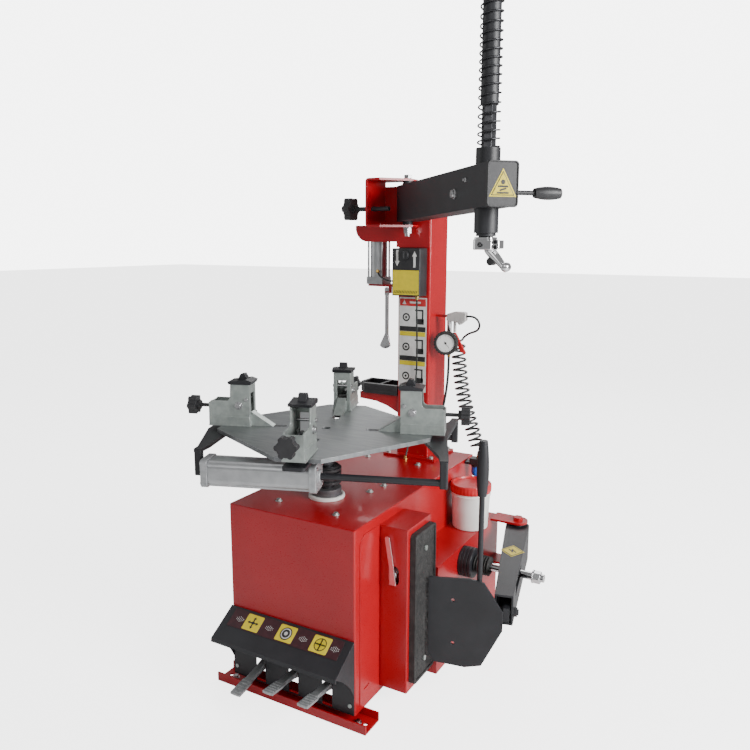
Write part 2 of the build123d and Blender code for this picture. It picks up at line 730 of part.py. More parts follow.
# ---------------------------------------------------------------- swing arm and tool shaft
SHAFT = (ARM_PIVOT[0] + ARM_REACH * cos(radians(ARM_ANGLE)),
         ARM_PIVOT[1] + ARM_REACH * sin(radians(ARM_ANGLE)))


def swing_arm():
    """Tapered box arm with a pivot bush at the rear and the shaft sleeve near its tip."""
    half = ARM_W / 2
    with BuildPart() as arm:
        with BuildSketch(flat_plane(ARM_PIVOT, ARM_ANGLE, ARM_BOT_REAR - 5)):
            with BuildLine():
                Polyline((0, -half), (ARM_LEN, -half), (ARM_LEN, half), (0, half))
                ThreePointArc((0, half), (-half, 0), (0, -half))
            make_face()
        extrude(amount=ARM_TOP - ARM_BOT_REAR + 10)
        with BuildSketch(upright_plane(ARM_PIVOT, ARM_ANGLE, -60)):
            with BuildLine():
                Polyline((-60, ARM_BOT_REAR), (ARM_LEN, ARM_BOT_TIP), (ARM_LEN, ARM_TOP), (-60, ARM_TOP),
                         close=True)
            make_face()
        extrude(amount=120, mode=Mode.INTERSECT)
        with BuildSketch(cross_plane(ARM_PIVOT, ARM_ANGLE, 60, 1529.5)):
            RectangleRounded(ARM_W - 10, 89, 6)
        extrude(amount=ARM_LEN - 60, mode=Mode.SUBTRACT)
        # shaft sleeve through the arm, its smaller ring below, and the pivot bush
        with BuildSketch(Plane.XY.offset(SLEEVE_LOW)):
            with Locations(SHAFT):
                Circle(SLEEVE_R)
        extrude(amount=SLEEVE_TOP - SLEEVE_LOW)
        with BuildSketch(Plane.XY.offset(SLEEVE_LOW - 8)):
            with Locations(SHAFT):
                Circle(25)
        extrude(amount=8)
        with BuildSketch(Plane.XY.offset(1449.4)):
            with Locations(ARM_PIVOT):
                Circle(17)
        extrude(amount=1596.6 - 1449.4)
        # bore for the tube above, hexagonal guide below, pivot bore
        with BuildSketch(Plane.XY.offset(SLEEVE_LOW + 24)):
            with Locations(SHAFT):
                Circle(24)
        extrude(amount=250, mode=Mode.SUBTRACT)
        with BuildSketch(flat_plane(SHAFT, ARM_ANGLE, SLEEVE_LOW - 10)):
            RegularPolygon(HEX_AF / 2 + 0.4, 6, major_radius=False)
        extrude(amount=60, mode=Mode.SUBTRACT)
        with BuildSketch(Plane.XY.offset(1440)):
            with Locations(ARM_PIVOT):
                Circle(PIVOT_R + RUN)
        extrude(amount=200, mode=Mode.SUBTRACT)
        # two cheeks and the pin of the lock lever
        for start in (LOCK_HALF + 0.4, -LOCK_HALF - 4.4):
            with BuildSketch(upright_plane(SHAFT, ARM_ANGLE + 90, start)):
                with Locations((half + 9, LOCK_Z)):
                    RectangleRounded(28, 22, 4)
            extrude(amount=4)
        with BuildSketch(upright_plane(SHAFT, ARM_ANGLE + 90, -LOCK_HALF - 6)):
            with Locations((LOCK_V, LOCK_Z)):
                Circle(4)
        extrude(amount=2 * LOCK_HALF + 12)
    save(arm.part, "swing_arm")


def arm_end_cap():
    """Moulded cap over the open end of the arm."""
    with BuildPart() as cap:
        with BuildSketch(cross_plane(ARM_PIVOT, ARM_ANGLE, ARM_LEN, (ARM_TOP + ARM_BOT_TIP) / 2)):
            RectangleRounded(ARM_W + 5, ARM_TOP - ARM_BOT_TIP + 5, 9)
        extrude(amount=7)
    save(cap.part, "arm_end_cap")


def lock_lever():
    """Cam lever that locks the tool shaft, on a pin beside the arm's sleeve."""
    out = ARM_ANGLE + 90
    with BuildPart() as lever:
        with BuildSketch(upright_plane(SHAFT, out, -LOCK_HALF)):
            with Locations((LOCK_V, LOCK_Z)):
                Circle(9.5)
        extrude(amount=2 * LOCK_HALF)
        with BuildSketch(cross_plane(SHAFT, out, LOCK_V + 5, LOCK_Z)):
            Circle(6)
        extrude(amount=78)
        for distance, radius in ((LOCK_V + 78, 12), (LOCK_V + 105, 16.5), (LOCK_V + 150, 13)):
            with BuildSketch(cross_plane(SHAFT, out, distance, LOCK_Z)):
                Circle(radius)
        loft()
        with BuildSketch(upright_plane(SHAFT, out, -LOCK_HALF - 1)):
            with Locations((LOCK_V, LOCK_Z)):
                Circle(4 + RUN)
        extrude(amount=2 * LOCK_HALF + 2, mode=Mode.SUBTRACT)
    save(lever.part, "lock_lever")


def hex_shaft():
    """Hexagonal tool shaft with a turned cap at its top."""
    with BuildPart() as shaft:
        with BuildSketch(flat_plane(SHAFT, ARM_ANGLE, 1392)):
            RegularPolygon(HEX_AF / 2, 6, major_radius=False)
        extrude(amount=SHAFT_TOP - 1392)
        with BuildSketch(Plane.XY.offset(SHAFT_TOP)):
            with Locations(SHAFT):
                Circle(31)
        extrude(amount=10)
        fillet(shaft.faces().sort_by(Axis.Z)[-1].edges(), radius=3)
    save(shaft.part, "hex_shaft")


def shaft_tube():
    """Plain tube over the upper part of the hexagonal shaft, inside the return spring."""
    with BuildPart() as tube:
        with BuildSketch(Plane.XY.offset(TUBE_LOW)):
            with Locations(SHAFT):
                Circle(22.5)
                Circle(19.2, mode=Mode.SUBTRACT)
        extrude(amount=SHAFT_TOP - TUBE_LOW - 0.1)
    save(tube.part, "shaft_tube")


def shaft_spring():
    """Return spring of the tool shaft between the sleeve and the cap, as its separate turns."""
    turns, coil_r, wire_r = 19, 27.2, 2.0
    low, high = SLEEVE_TOP + 2.5, SHAFT_TOP - 2.5
    with BuildPart() as spring:
        with Locations(*[(SHAFT[0], SHAFT[1], low + (high - low) * i / (turns - 1)) for i in range(turns)]):
            Torus(coil_r, wire_r)
    save(spring.part, "shaft_spring")


def mount_head():
    """Chromed head: clamp block on the shaft, and the curved duckbill with its round foot."""
    side = 0.0
    with BuildPart() as head:
        with BuildSketch(Plane.XY.offset(1373)):
            with Locations(SHAFT):
                Circle(27)
        extrude(amount=32)
        with BuildSketch(flat_plane(SHAFT, side, 1378)):
            with Locations((18, 0)):
                RectangleRounded(40, 32, 5)
        extrude(amount=24)
        with BuildSketch(flat_plane(SHAFT, ARM_ANGLE, 1392)):
            RegularPolygon(HEX_AF / 2 + RUN, 6, major_radius=False)
        extrude(amount=20, mode=Mode.SUBTRACT)
        with BuildSketch(upright_plane(SHAFT, side, -14)):
            with BuildLine():
                Line((-8, 1374), (30, 1374))
                ThreePointArc((30, 1374), (40, 1355), (58, 1346))
                ThreePointArc((58, 1346), (68, 1332), (56, 1319))
                ThreePointArc((56, 1319), (18, 1336), (-8, 1374))
            make_face()
        extrude(amount=28)
        with BuildSketch(upright_plane(SHAFT, side, -17)):
            with Locations((55, 1331)):
                Circle(12.5)
        extrude(amount=34)
    save(head.part, "mount_head")


# ---------------------------------------------------------------- turntable
def table_plane(height):
    """Horizontal plane of the turntable, X along the right jaw."""
    return flat_plane(HUB, TABLE_ANGLE, height)


def turntable_plate():
    """Square plate with cut corners, four jaw slots and a centre hole."""
    corner, half = 330.0, 65.0
    with BuildPart() as plate:
        with BuildSketch(table_plane(TABLE_TOP - TABLE_T)):
            with BuildLine():
                points = []
                for i in range(4):
                    a = radians(90 * i)
                    for s in (-half, half):
                        points.append((corner * cos(a) - s * sin(a), corner * sin(a) + s * cos(a)))
                Polyline(*points, close=True)
            make_face()
            with PolarLocations(0, 4):
                with Locations((221.5, 0)):
                    SlotOverall(193, 24, mode=Mode.SUBTRACT)
            Circle(14, mode=Mode.SUBTRACT)
        extrude(amount=TABLE_T)
    save(plate.part, "turntable_plate")


def table_spindle():
    """Turntable spindle with its flange under the plate and the air distributor collar."""
    with BuildPart() as spindle:
        with BuildSketch(Plane.XY.offset(430)):
            with Locations(HUB):
                Circle(25)
        extrude(amount=TABLE_TOP - TABLE_T - 430)
        with BuildSketch(Plane.XY.offset(645)):
            with Locations(HUB):
                Circle(38)
        extrude(amount=60)
        with BuildSketch(Plane.XY.offset(TABLE_TOP - TABLE_T - 30)):
            with Locations(HUB):
                Circle(62)
        extrude(amount=30)
        with BuildSketch(Plane.XY.offset(430)):
            with Locations(HUB):
                Circle(10)
        extrude(amount=400, mode=Mode.SUBTRACT)
    save(spindle.part, "table_spindle")


JAW_IN, JAW_OUT = 236.0, 370.0                 # inner and outer ends of an adaptor jaw
WALL = 4.0                                     # adaptor sheet
JAW_H, JAW_STEP = 133.0, 80.0                  # tower and step heights above the plate
JAW_HALF = 29.0
SCREW_H = 58.0


def adaptor(degrees, label):
    """Folded U-shaped motorcycle adaptor with its ramp toe, on the plate."""
    z0 = TABLE_TOP + 0.3
    with BuildPart() as body:
        for offset_side in (-JAW_HALF, JAW_HALF - WALL):
            with BuildSketch(upright_plane(HUB, degrees, offset_side)):
                with BuildLine():
                    Polyline((JAW_IN, z0), (JAW_OUT, z0), (JAW_OUT, z0 + JAW_STEP - 8),
                             (JAW_OUT - 8, z0 + JAW_STEP), (JAW_IN + 76, z0 + JAW_STEP))
                    ThreePointArc((JAW_IN + 76, z0 + JAW_STEP), (JAW_IN + 67, z0 + JAW_STEP + 5),
                                  (JAW_IN + 64, z0 + JAW_STEP + 14))
                    Polyline((JAW_IN + 64, z0 + JAW_STEP + 14), (JAW_IN + 62, z0 + JAW_H),
                             (JAW_IN, z0 + JAW_H), (JAW_IN, z0))
                make_face()
            extrude(amount=WALL)
        # base, inner wall with its window, outer wall for the screw
        with BuildSketch(flat_plane(HUB, degrees, z0)):
            with Locations(((JAW_IN + JAW_OUT) / 2, 0)):
                Rectangle(JAW_OUT - JAW_IN, 2 * JAW_HALF + 8)
        extrude(amount=WALL)
        with BuildSketch(cross_plane(HUB, degrees, JAW_IN, z0)):
            with Locations((0, JAW_H / 2)):
                Rectangle(2 * JAW_HALF, JAW_H)
            with Locations((0, 70)):
                Rectangle(34, 70, mode=Mode.SUBTRACT)
        extrude(amount=WALL)
        with BuildSketch(cross_plane(HUB, degrees, JAW_OUT - WALL, z0)):
            with Locations((0, (JAW_STEP - 6) / 2)):
                Rectangle(2 * JAW_HALF, JAW_STEP - 6)
            with Locations((0, SCREW_H)):
                Circle(6 + RUN, mode=Mode.SUBTRACT)
        extrude(amount=WALL)
        # ramp toe towards the hub
        with BuildSketch(upright_plane(HUB, degrees, -15)):
            with BuildLine():
                Polyline((JAW_IN + 1, z0), (JAW_IN + 1, z0 + 45), (JAW_IN - 70, z0), close=True)
            make_face()
        extrude(amount=30)
    save(body.part, label)


def jaw_slide(degrees, label, yoke_reach, rods):
    """Black jaw parts: slide, guide block, cap, and the yoke that a pair of cylinders pushes."""
    z0 = TABLE_TOP + 0.3
    under = TABLE_TOP - TABLE_T - GAP
    with BuildPart() as slide:
        # guide block through the slot, and the slide plate under the table
        with BuildSketch(flat_plane(HUB, degrees, under - 9)):
            with Locations((287, 0)):
                Rectangle(46, 18)
        extrude(amount=z0 - under + 9)
        with BuildSketch(flat_plane(HUB, degrees, under - 10)):
            with Locations(((225 + 378) / 2, 0)):
                RectangleRounded(378 - 225, 64, 10)
        extrude(amount=10)
        if yoke_reach:
            eye = yoke_reach
            for side in (-1, 1):
                with BuildSketch(flat_plane(HUB, degrees, under - 10)):
                    with BuildLine():
                        Polyline((300, side * 20), (378, side * 20), (eye + 11, side * (TABLE_CYL_V - 18)),
                                 (eye + 11, side * (TABLE_CYL_V + 10)), (eye - 11, side * (TABLE_CYL_V + 10)),
                                 (eye - 18, side * (TABLE_CYL_V - 40)), close=True)
                    make_face()
                extrude(amount=10)
                with BuildSketch(flat_plane(HUB, degrees, TABLE_CYL_Z - 14)):
                    with Locations((eye, side * TABLE_CYL_V)):
                        RectangleRounded(22, 24, 5)
                extrude(amount=under - TABLE_CYL_Z + 10)
        if rods:
            for side in (-1, 1):
                centre = (HUB[0] - side * TABLE_CYL_V * sin(radians(TABLE_ANGLE)),
                          HUB[1] + side * TABLE_CYL_V * cos(radians(TABLE_ANGLE)))
                with BuildSketch(cross_plane(centre, TABLE_ANGLE, -60, TABLE_CYL_Z)):
                    Circle(CYL_BORE - 0.5)
                extrude(amount=24)
                with BuildSketch(cross_plane(centre, TABLE_ANGLE, -40, TABLE_CYL_Z)):
                    Circle(JAW_ROD_R)
                extrude(amount=40 + yoke_reach)
        # cap that grips the rim, with a pointed lug
        with BuildSketch(upright_plane(HUB, degrees, -33)):
            with BuildLine():
                Polyline((JAW_IN - 8, z0 + JAW_H + 10), (JAW_IN - 4, z0 + JAW_H),
                         (JAW_IN + 66, z0 + JAW_H), (JAW_IN + 70, z0 + JAW_H + 8),
                         (JAW_IN + 10, z0 + JAW_H + 16), close=True)
            make_face()
        extrude(amount=66)
        with BuildSketch(upright_plane(HUB, degrees, -12)):
            with BuildLine():
                Polyline((JAW_IN + 10, z0 + JAW_H + 12), (JAW_IN + 44, z0 + JAW_H + 10),
                         (JAW_IN + 34, z0 + JAW_H + 30), (JAW_IN + 22, z0 + JAW_H + 32), close=True)
            make_face()
        extrude(amount=24)
    save(slide.part, label)


def adaptor_screw(degrees, label):
    """Adjusting screw of an adaptor with a star knob outside."""
    z = TABLE_TOP + 0.3 + SCREW_H
    with BuildPart() as screw:
        with BuildSketch(cross_plane(HUB, degrees, JAW_IN + 40, z)):
            Circle(6)
        extrude(amount=JAW_OUT + 50 - JAW_IN - 40)
        with BuildSketch(cross_plane(HUB, degrees, JAW_OUT + 47, z)):
            add(star_profile(31))
        extrude(amount=26)
        with BuildSketch(cross_plane(HUB, degrees, JAW_OUT + 38, z)):
            Circle(15)
        extrude(amount=10)
    save(screw.part, label)


def table_cylinders():
    """Two air cylinders under the table, side by side with the hub."""
    rear, front_end = CYL_REAR, CYL_FRONT
    with BuildPart() as cylinders:
        for side in (-1, 1):
            centre = (HUB[0] - side * TABLE_CYL_V * sin(radians(TABLE_ANGLE)),
                      HUB[1] + side * TABLE_CYL_V * cos(radians(TABLE_ANGLE)))
            with BuildSketch(cross_plane(centre, TABLE_ANGLE, rear + 12, TABLE_CYL_Z)):
                Circle(38)
            extrude(amount=front_end - rear - 24)
            for start in (rear, front_end - 20):
                with BuildSketch(cross_plane(centre, TABLE_ANGLE, start, TABLE_CYL_Z)):
                    RectangleRounded(82, 82, 10)
                extrude(amount=20)
            with BuildSketch(cross_plane(centre, TABLE_ANGLE, rear - 7, TABLE_CYL_Z)):
                Circle(18)
            extrude(amount=7)
            with BuildSketch(cross_plane(centre, TABLE_ANGLE, rear + 20, TABLE_CYL_Z)):
                Circle(CYL_BORE)
            extrude(amount=front_end - rear - 40, mode=Mode.SUBTRACT)
            with BuildSketch(cross_plane(centre, TABLE_ANGLE, front_end - 60, TABLE_CYL_Z)):
                Circle(JAW_ROD_R + RUN)
            extrude(amount=80, mode=Mode.SUBTRACT)
    save(cylinders.part, "table_cylinders")


# ---------------------------------------------------------------- bead breaker
def bead_arm():
    """Black box arm that swings on the rear pin and carries the blade at its open tip."""
    top_rear, top_tip, low = 390.0, 356.0, 262.0
    with BuildPart() as arm:
        with BuildSketch(flat_plane(BEAD_PIVOT, BEAD_ANGLE, low)):
            with BuildLine():
                Polyline((0, -41), (BEAD_LEN, -28), (BEAD_LEN, 28), (0, 41))
                ThreePointArc((0, 41), (-30, 0), (0, -41))
            make_face()
        extrude(amount=top_rear - low)
        with BuildSketch(upright_plane(BEAD_PIVOT, BEAD_ANGLE, -60)):
            with BuildLine():
                Polyline((60, top_rear), (BEAD_LEN + 1, top_tip), (BEAD_LEN + 1, top_rear + 1), (60, top_rear + 1),
                         close=True)
            make_face()
        extrude(amount=120, mode=Mode.SUBTRACT)
        # hollow between its walls, open at the tip
        with BuildSketch(flat_plane(BEAD_PIVOT, BEAD_ANGLE, low + 6)):
            with BuildLine():
                Polyline((50, -33), (BEAD_LEN + 20, -22), (BEAD_LEN + 20, 22), (50, 33), close=True)
            make_face()
        extrude(amount=top_tip - low - 12, mode=Mode.SUBTRACT)
        # slot through both side walls for the cylinder's rod
        with BuildSketch(upright_plane(BEAD_PIVOT, BEAD_ANGLE, -60)):
            with Locations((348, BEAD_ROD_Z - 4)):
                Rectangle(156, 38)
        extrude(amount=120, mode=Mode.SUBTRACT)
        # bush round the pin, between the two lugs
        with BuildSketch(Plane.XY.offset(246.5)):
            with Locations(BEAD_PIVOT):
                Circle(24)
        extrude(amount=151)
        with BuildSketch(Plane.XY.offset(240)):
            with Locations(BEAD_PIVOT):
                Circle(12 + RUN)
        extrude(amount=180, mode=Mode.SUBTRACT)
        # hinge bolt of the blade, with a nut each side
        with BuildSketch(upright_plane(BEAD_PIVOT, BEAD_ANGLE, -44)):
            with Locations((BLADE_AT - 28, BLADE_Z)):
                Circle(9)
        extrude(amount=88)
        for start in (28, -40):
            with BuildSketch(upright_plane(BEAD_PIVOT, BEAD_ANGLE, start)):
                with Locations((BLADE_AT - 28, BLADE_Z)):
                    RegularPolygon(14, 6)
            extrude(amount=12)
    save(arm.part, "bead_arm")


def bead_blade():
    """Bead breaker blade across the arm's tip, on its hinge lug, with its upright pull handle."""
    grip = [(662, 13), (700, 17), (790, 16), (829, 12)]
    back = (BEAD_PIVOT[0] + (BLADE_AT - 7) * direction(BEAD_ANGLE)[0] - 73 * direction(BEAD_ANGLE + 90)[0],
            BEAD_PIVOT[1] + (BLADE_AT - 7) * direction(BEAD_ANGLE)[1] - 73 * direction(BEAD_ANGLE + 90)[1])
    with BuildPart() as blade:
        with BuildSketch(cross_plane(BEAD_PIVOT, BEAD_ANGLE, BLADE_AT)):
            with BuildLine():
                Polyline((0, 250), (0, 310), (-58, 396), (-100, 404), (-225, 396), (-225, 150), (-206, 120),
                         (-110, 115), (-60, 128), close=True)
            make_face()
            with Locations((-150, 330), (-148, 190)):
                Circle(5.5, mode=Mode.SUBTRACT)
        extrude(amount=7)
        # hinge lug between the arm's walls
        with BuildSketch(upright_plane(BEAD_PIVOT, BEAD_ANGLE, -18)):
            with BuildLine():
                Polyline((BLADE_AT + 1, BLADE_Z - 22), (BLADE_AT - 28, BLADE_Z - 22))
                ThreePointArc((BLADE_AT - 28, BLADE_Z - 22), (BLADE_AT - 50, BLADE_Z), (BLADE_AT - 28, BLADE_Z + 22))
                Polyline((BLADE_AT - 28, BLADE_Z + 22), (BLADE_AT + 1, BLADE_Z + 22), (BLADE_AT + 1, BLADE_Z - 22))
            make_face()
            with Locations((BLADE_AT - 28, BLADE_Z)):
                Circle(9 + RUN, mode=Mode.SUBTRACT)
        extrude(amount=18)
        with BuildSketch(Plane.XY.offset(330)):
            with Locations(back):
                Circle(8)
        extrude(amount=400)
        for height, radius in grip:
            with BuildSketch(Plane.XY.offset(height)):
                with Locations(back):
                    Circle(radius)
        loft()
    save(blade.part, "bead_blade")


def bead_rod():
    """Piston and rod of the bead cylinder, with its washer and end nut."""
    centre = (BEAD_ROD_Y, BEAD_ROD_Z)
    sections = [(90, 120, 41.4), (120, 622, BEAD_ROD_R), (585, 589, 21)]
    with BuildPart() as rod:
        for start, end, radius in sections:
            with BuildSketch(Plane.YZ.offset(start)):
                with Locations(centre):
                    Circle(radius)
            extrude(amount=end - start)
        with BuildSketch(Plane.YZ.offset(589)):
            with Locations(centre):
                RegularPolygon(20, 6)
        extrude(amount=22)
    save(rod.part, "bead_rod")


# ---------------------------------------------------------------- air parts and loose tools
def tube_along(points, radius):
    """Round tube on straight runs joined by tangent arcs; returns the part and its length."""
    radii = []
    for i in range(1, len(points) - 1):
        a, b, c = Vector(*points[i - 1]), Vector(*points[i]), Vector(*points[i + 1])
        turn = radians((b - a).get_angle(c - b))
        radii.append(0.45 * min((b - a).length, (c - b).length) / tan(turn / 2))
    with BuildLine() as route:
        FilletPolyline(*points, radius=radii)
    wire = route.wires()[0]
    with BuildPart() as tube:
        with BuildSketch(Plane(origin=wire @ 0, z_dir=wire % 0)):
            Circle(radius)
        sweep(path=wire)
    print(f"  radii {min(radii):.1f} to {max(radii):.1f}, length {wire.length:.0f},",
          f"volume ratio {tube.part.volume / (pi * radius ** 2 * wire.length):.4f}")
    return tube.part


def air_hoses():
    """Thin air hoses clipped to the machine: valve to cylinder, valve box down the column, inflator feed."""
    routes = [
        [(-20, 262, 1252), (-42, 262, 1252), (-62, 263, 1255), (-82, 269, 1262), (-100, 279, 1271),
         (-112, 290.5, 1283)],
        [(70, 250, 1203), (70, 250, 1150), (69, 254, 1100), (66, 263, 1050), (62, 273, 1000), (58, 280, 950),
         (54, 283, 900), (50, 284.5, 850), (46, 285, 800), (42, 284, 750), (38, 279, 700), (34, 270, 655),
         (32, 258, 624), (32, 248, 602)],
        [(156, 343, 992), (156, 343, 950), (154, 343, 900), (149, 342, 850), (141, 340, 800), (131, 337, 750),
         (121, 334, 705), (113, 331, 670), (109, 328, 640)],
    ]
    with BuildPart() as hoses:
        for route, radius in zip(routes, (3.0, 3.0, 4.5)):
            add(tube_along(route, radius))
    save(hoses.part, "air_hoses")


def frl_unit():
    """Filter and lubricator unit on the cabinet's right side, with its bowl and outlet fitting."""
    x, y = FRL
    with BuildPart() as frl:
        with BuildSketch(Plane.XY.offset(586)):
            with Locations((x, y)):
                RectangleRounded(42, 38, 5)
        extrude(amount=24)
        with BuildSketch(Plane.XY.offset(539)):
            with Locations((x, y)):
                Circle(17)
        extrude(amount=47)
        with BuildSketch(Plane.XY.offset(610)):
            with Locations((x + 8, y)):
                Circle(8)
        extrude(amount=22)
        with BuildSketch(Plane.YZ.offset(RIGHT)):
            with Locations((y, 594)):
                Rectangle(30, 9)
        extrude(amount=24)
    save(frl.part, "frl_unit")


def lubricant_bucket():
    """White tub of bead lubricant with a red snap lid, standing on the shelf."""
    x, y = BUCKET
    floor = SHELF_Z + 0.3
    with BuildPart() as tub:
        for height, radius in ((floor, 62), (SHELF_Z + 135, 68)):
            with BuildSketch(Plane.XY.offset(height)):
                with Locations((x, y)):
                    Circle(radius)
        loft()
        with BuildSketch(Plane.XY.offset(SHELF_Z + 128)):
            with Locations((x, y)):
                Circle(72.5)
        extrude(amount=34)
        fillet(tub.faces().sort_by(Axis.Z)[-1].edges(), radius=4)
        with BuildSketch(Plane.XY.offset(SHELF_Z + 162)):
            with Locations((x, y)):
                Circle(60)
        extrude(amount=-5, mode=Mode.SUBTRACT)
        with BuildSketch(Plane.XY.offset(SHELF_Z + 4)):
            with Locations((x, y)):
                Circle(58)
        extrude(amount=130, mode=Mode.SUBTRACT)
    save(tub.part, "lubricant_bucket")


def tire_levers():
    """Two tyre levers: one hung on the column's pin, one in the side box's slot."""
    with BuildPart() as hung:
        with BuildSketch(Plane.XZ.offset(-278)):
            with Locations((LEVER_X, LEVER_PIN_Z)):
                SlotOverall(34, 17, rotation=90)
            with Locations((LEVER_X, LEVER_PIN_Z)):
                Circle(3.2, mode=Mode.SUBTRACT)
        extrude(amount=6)
        with BuildSketch(Plane.XY.offset(1040)):
            with Locations((LEVER_X, 275)):
                Circle(7)
        extrude(amount=162)
        with BuildSketch(Plane.XZ.offset(-278)):
            with BuildLine():
                Polyline((-70, 1060), (-58, 1060), (-49, 1014))
                ThreePointArc((-49, 1014), (-68, 1003), (-92, 1014))
                Line((-92, 1014), (-70, 1060))
            make_face()
        extrude(amount=6)
    save(hung.part, "tire_lever_hung")
    with BuildPart() as slotted:
        with BuildSketch(Plane.XZ.offset(-(PAD_Y0 - 1))):
            with BuildLine():
                Polyline((262, 392), (284, 392), (276, 450), (262, 534))
                ThreePointArc((262, 534), (254, 541), (246, 534))
                Polyline((246, 534), (260, 450), (262, 392))
            make_face()
        extrude(amount=7)
        with BuildSketch(Plane.XZ.offset(-(PAD_Y0 - 1))):
            with Locations((273, 412)):
                Rectangle(16, 34)
        extrude(amount=-36)
    save(slotted.part, "tire_lever_slotted")


def inflator():
    """Tyre inflator on its hook: chromed valve stem, grey head, dial gauge, and the red lever."""
    with BuildPart() as gun:
        with BuildSketch(Plane.XY.offset(992)):
            with Locations((GUN_X, GUN_Y)):
                Circle(8.5)
        extrude(amount=136)
        with BuildSketch(Plane.XZ.offset(-354)):
            with BuildLine():
                Polyline((148, 1114), (148, 1136), (176, 1146), (222, 1146), (222, 1116), (200, 1098),
                         (190, 1110), close=True)
            make_face()
        extrude(amount=24)
        with BuildSketch(Plane.XZ.offset(-348)):
            with Locations((178, 1094)):
                Rectangle(8, 44)
        extrude(amount=12)
        with BuildSketch(Plane(origin=(GUN_X + 3, 316, GAUGE_Z), x_dir=direction(12), z_dir=direction(-78))):
            Circle(44)
        extrude(amount=26)
        with BuildSketch(Plane.XZ.offset(-344)):
            with Locations((GUN_X + 1, GAUGE_Z)):
                Circle(9)
        extrude(amount=30)
    save(gun.part, "inflator_gun")
    with BuildPart() as trigger:
        with BuildSketch(Plane.XZ.offset(-347)):
            with BuildLine():
                Polyline((171, 1070), (182, 1070), (206, 1028), (222, 1000), (218, 994), (200, 1008), close=True)
            make_face()
            with Locations(TRIGGER_PIN):
                Circle(2.5, mode=Mode.SUBTRACT)
        extrude(amount=10)
    save(trigger.part, "inflator_trigger")


def supply_hose():
    """Curly supply hose of the inflator: its lead at the head, and the coil down to the filter unit."""
    lead = [(222, 342, 1131), (246, 342, 1133), (265, 343, 1121), (271, 349, 1101), (262, 356, 1083),
            (243, 363, 1074), (221, 369, 1067), (199, 374, 1051)]
    coil = [(175, 376, 1050), (189, 372, 908), (217, 367, 795), (257, 364, 688), (273, 365, 632)]
    save(tube_along(lead, 3.5), "hose_lead")
    save(tube_along(coil, 27.0), "curly_hose")


cabinet_shell()
base_feet()
fasteners()
pedal_hood()
pedal_cover()
side_cover()
pad_box()
bead_pad()
cylinder_housing()
bead_cylinder()
gearbox()
motor()
for pedal_x, pedal_label, rest_tilt in zip(PEDAL_X, ("pedal_left", "pedal_middle", "pedal_right"), (-11, 4, 4)):
    pedal(pedal_x, pedal_label, rest_tilt)
pedal_box()
column()
tool_tray()
control_box()
valve_knob()
lift_cylinder()
lift_rod()
lift_post()
arm_bracket()
pivot_bolt()
stop_screw()
swing_arm()
arm_end_cap()
lock_lever()
hex_shaft()
shaft_tube()
shaft_spring()
mount_head()
turntable_plate()
table_spindle()
for turn, side_name, reach in ((0, "right", 385.0), (90, "back", 0), (180, "left", 318.0), (270, "front", 0)):
    adaptor(TABLE_ANGLE + turn, f"adaptor_{side_name}")
    jaw_slide(TABLE_ANGLE + turn, f"jaw_slide_{side_name}", reach, side_name == "right")
    adaptor_screw(TABLE_ANGLE + turn, f"adaptor_screw_{side_name}")
table_cylinders()
bead_arm()
bead_blade()
bead_rod()
air_hoses()
frl_unit()
lubricant_bucket()
tire_levers()
inflator()
supply_hose()
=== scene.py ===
"""Looks of the tyre changer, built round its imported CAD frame.  Metres, in the frame's own axes."""
import json
import math

import bmesh
import bpy
from mathutils import Matrix, Vector, noise


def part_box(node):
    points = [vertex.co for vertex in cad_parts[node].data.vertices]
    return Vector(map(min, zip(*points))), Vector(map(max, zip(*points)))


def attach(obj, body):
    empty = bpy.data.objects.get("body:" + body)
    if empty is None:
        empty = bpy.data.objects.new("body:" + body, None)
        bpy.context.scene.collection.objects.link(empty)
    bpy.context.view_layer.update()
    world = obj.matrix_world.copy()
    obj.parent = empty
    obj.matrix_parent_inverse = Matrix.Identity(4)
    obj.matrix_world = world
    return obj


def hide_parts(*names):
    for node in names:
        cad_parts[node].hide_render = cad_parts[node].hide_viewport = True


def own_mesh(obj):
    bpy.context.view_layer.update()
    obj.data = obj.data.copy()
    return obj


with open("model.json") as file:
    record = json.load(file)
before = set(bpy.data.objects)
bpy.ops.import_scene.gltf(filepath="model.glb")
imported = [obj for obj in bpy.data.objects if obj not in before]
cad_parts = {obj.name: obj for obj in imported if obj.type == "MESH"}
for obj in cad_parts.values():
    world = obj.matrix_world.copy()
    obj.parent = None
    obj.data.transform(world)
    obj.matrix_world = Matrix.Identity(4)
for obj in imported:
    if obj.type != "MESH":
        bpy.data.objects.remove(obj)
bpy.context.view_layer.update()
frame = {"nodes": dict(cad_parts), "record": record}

scene = bpy.context.scene
joints = {joint["name"]: joint for joint in frame["record"]["behaviour"]["joints"]}


def middle(node):
    """Centre of a node's box."""
    low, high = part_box(node)
    return (Vector(low) + Vector(high)) / 2


def low(node):
    return Vector(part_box(node)[0])


def high(node):
    return Vector(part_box(node)[1])


# ---------------------------------------------------------------- camera
def add_camera():
    """Camera of the main view."""
    place = (1.228, -2.091, 1.396)
    yaw, pitch, roll = (math.radians(angle) for angle in (29.55, 10.36, 0.16))
    data = bpy.data.cameras.new("camera")
    data.lens = 35.36
    data.sensor_width = 36
    camera = bpy.data.objects.new("camera", data)
    scene.collection.objects.link(camera)
    turn = Matrix.Rotation(yaw, 4, "Z") @ Matrix.Rotation(math.pi / 2 - pitch, 4, "X")
    camera.matrix_world = Matrix.Translation(place) @ turn @ Matrix.Rotation(roll, 4, "Z")
    scene.camera = camera


add_camera()


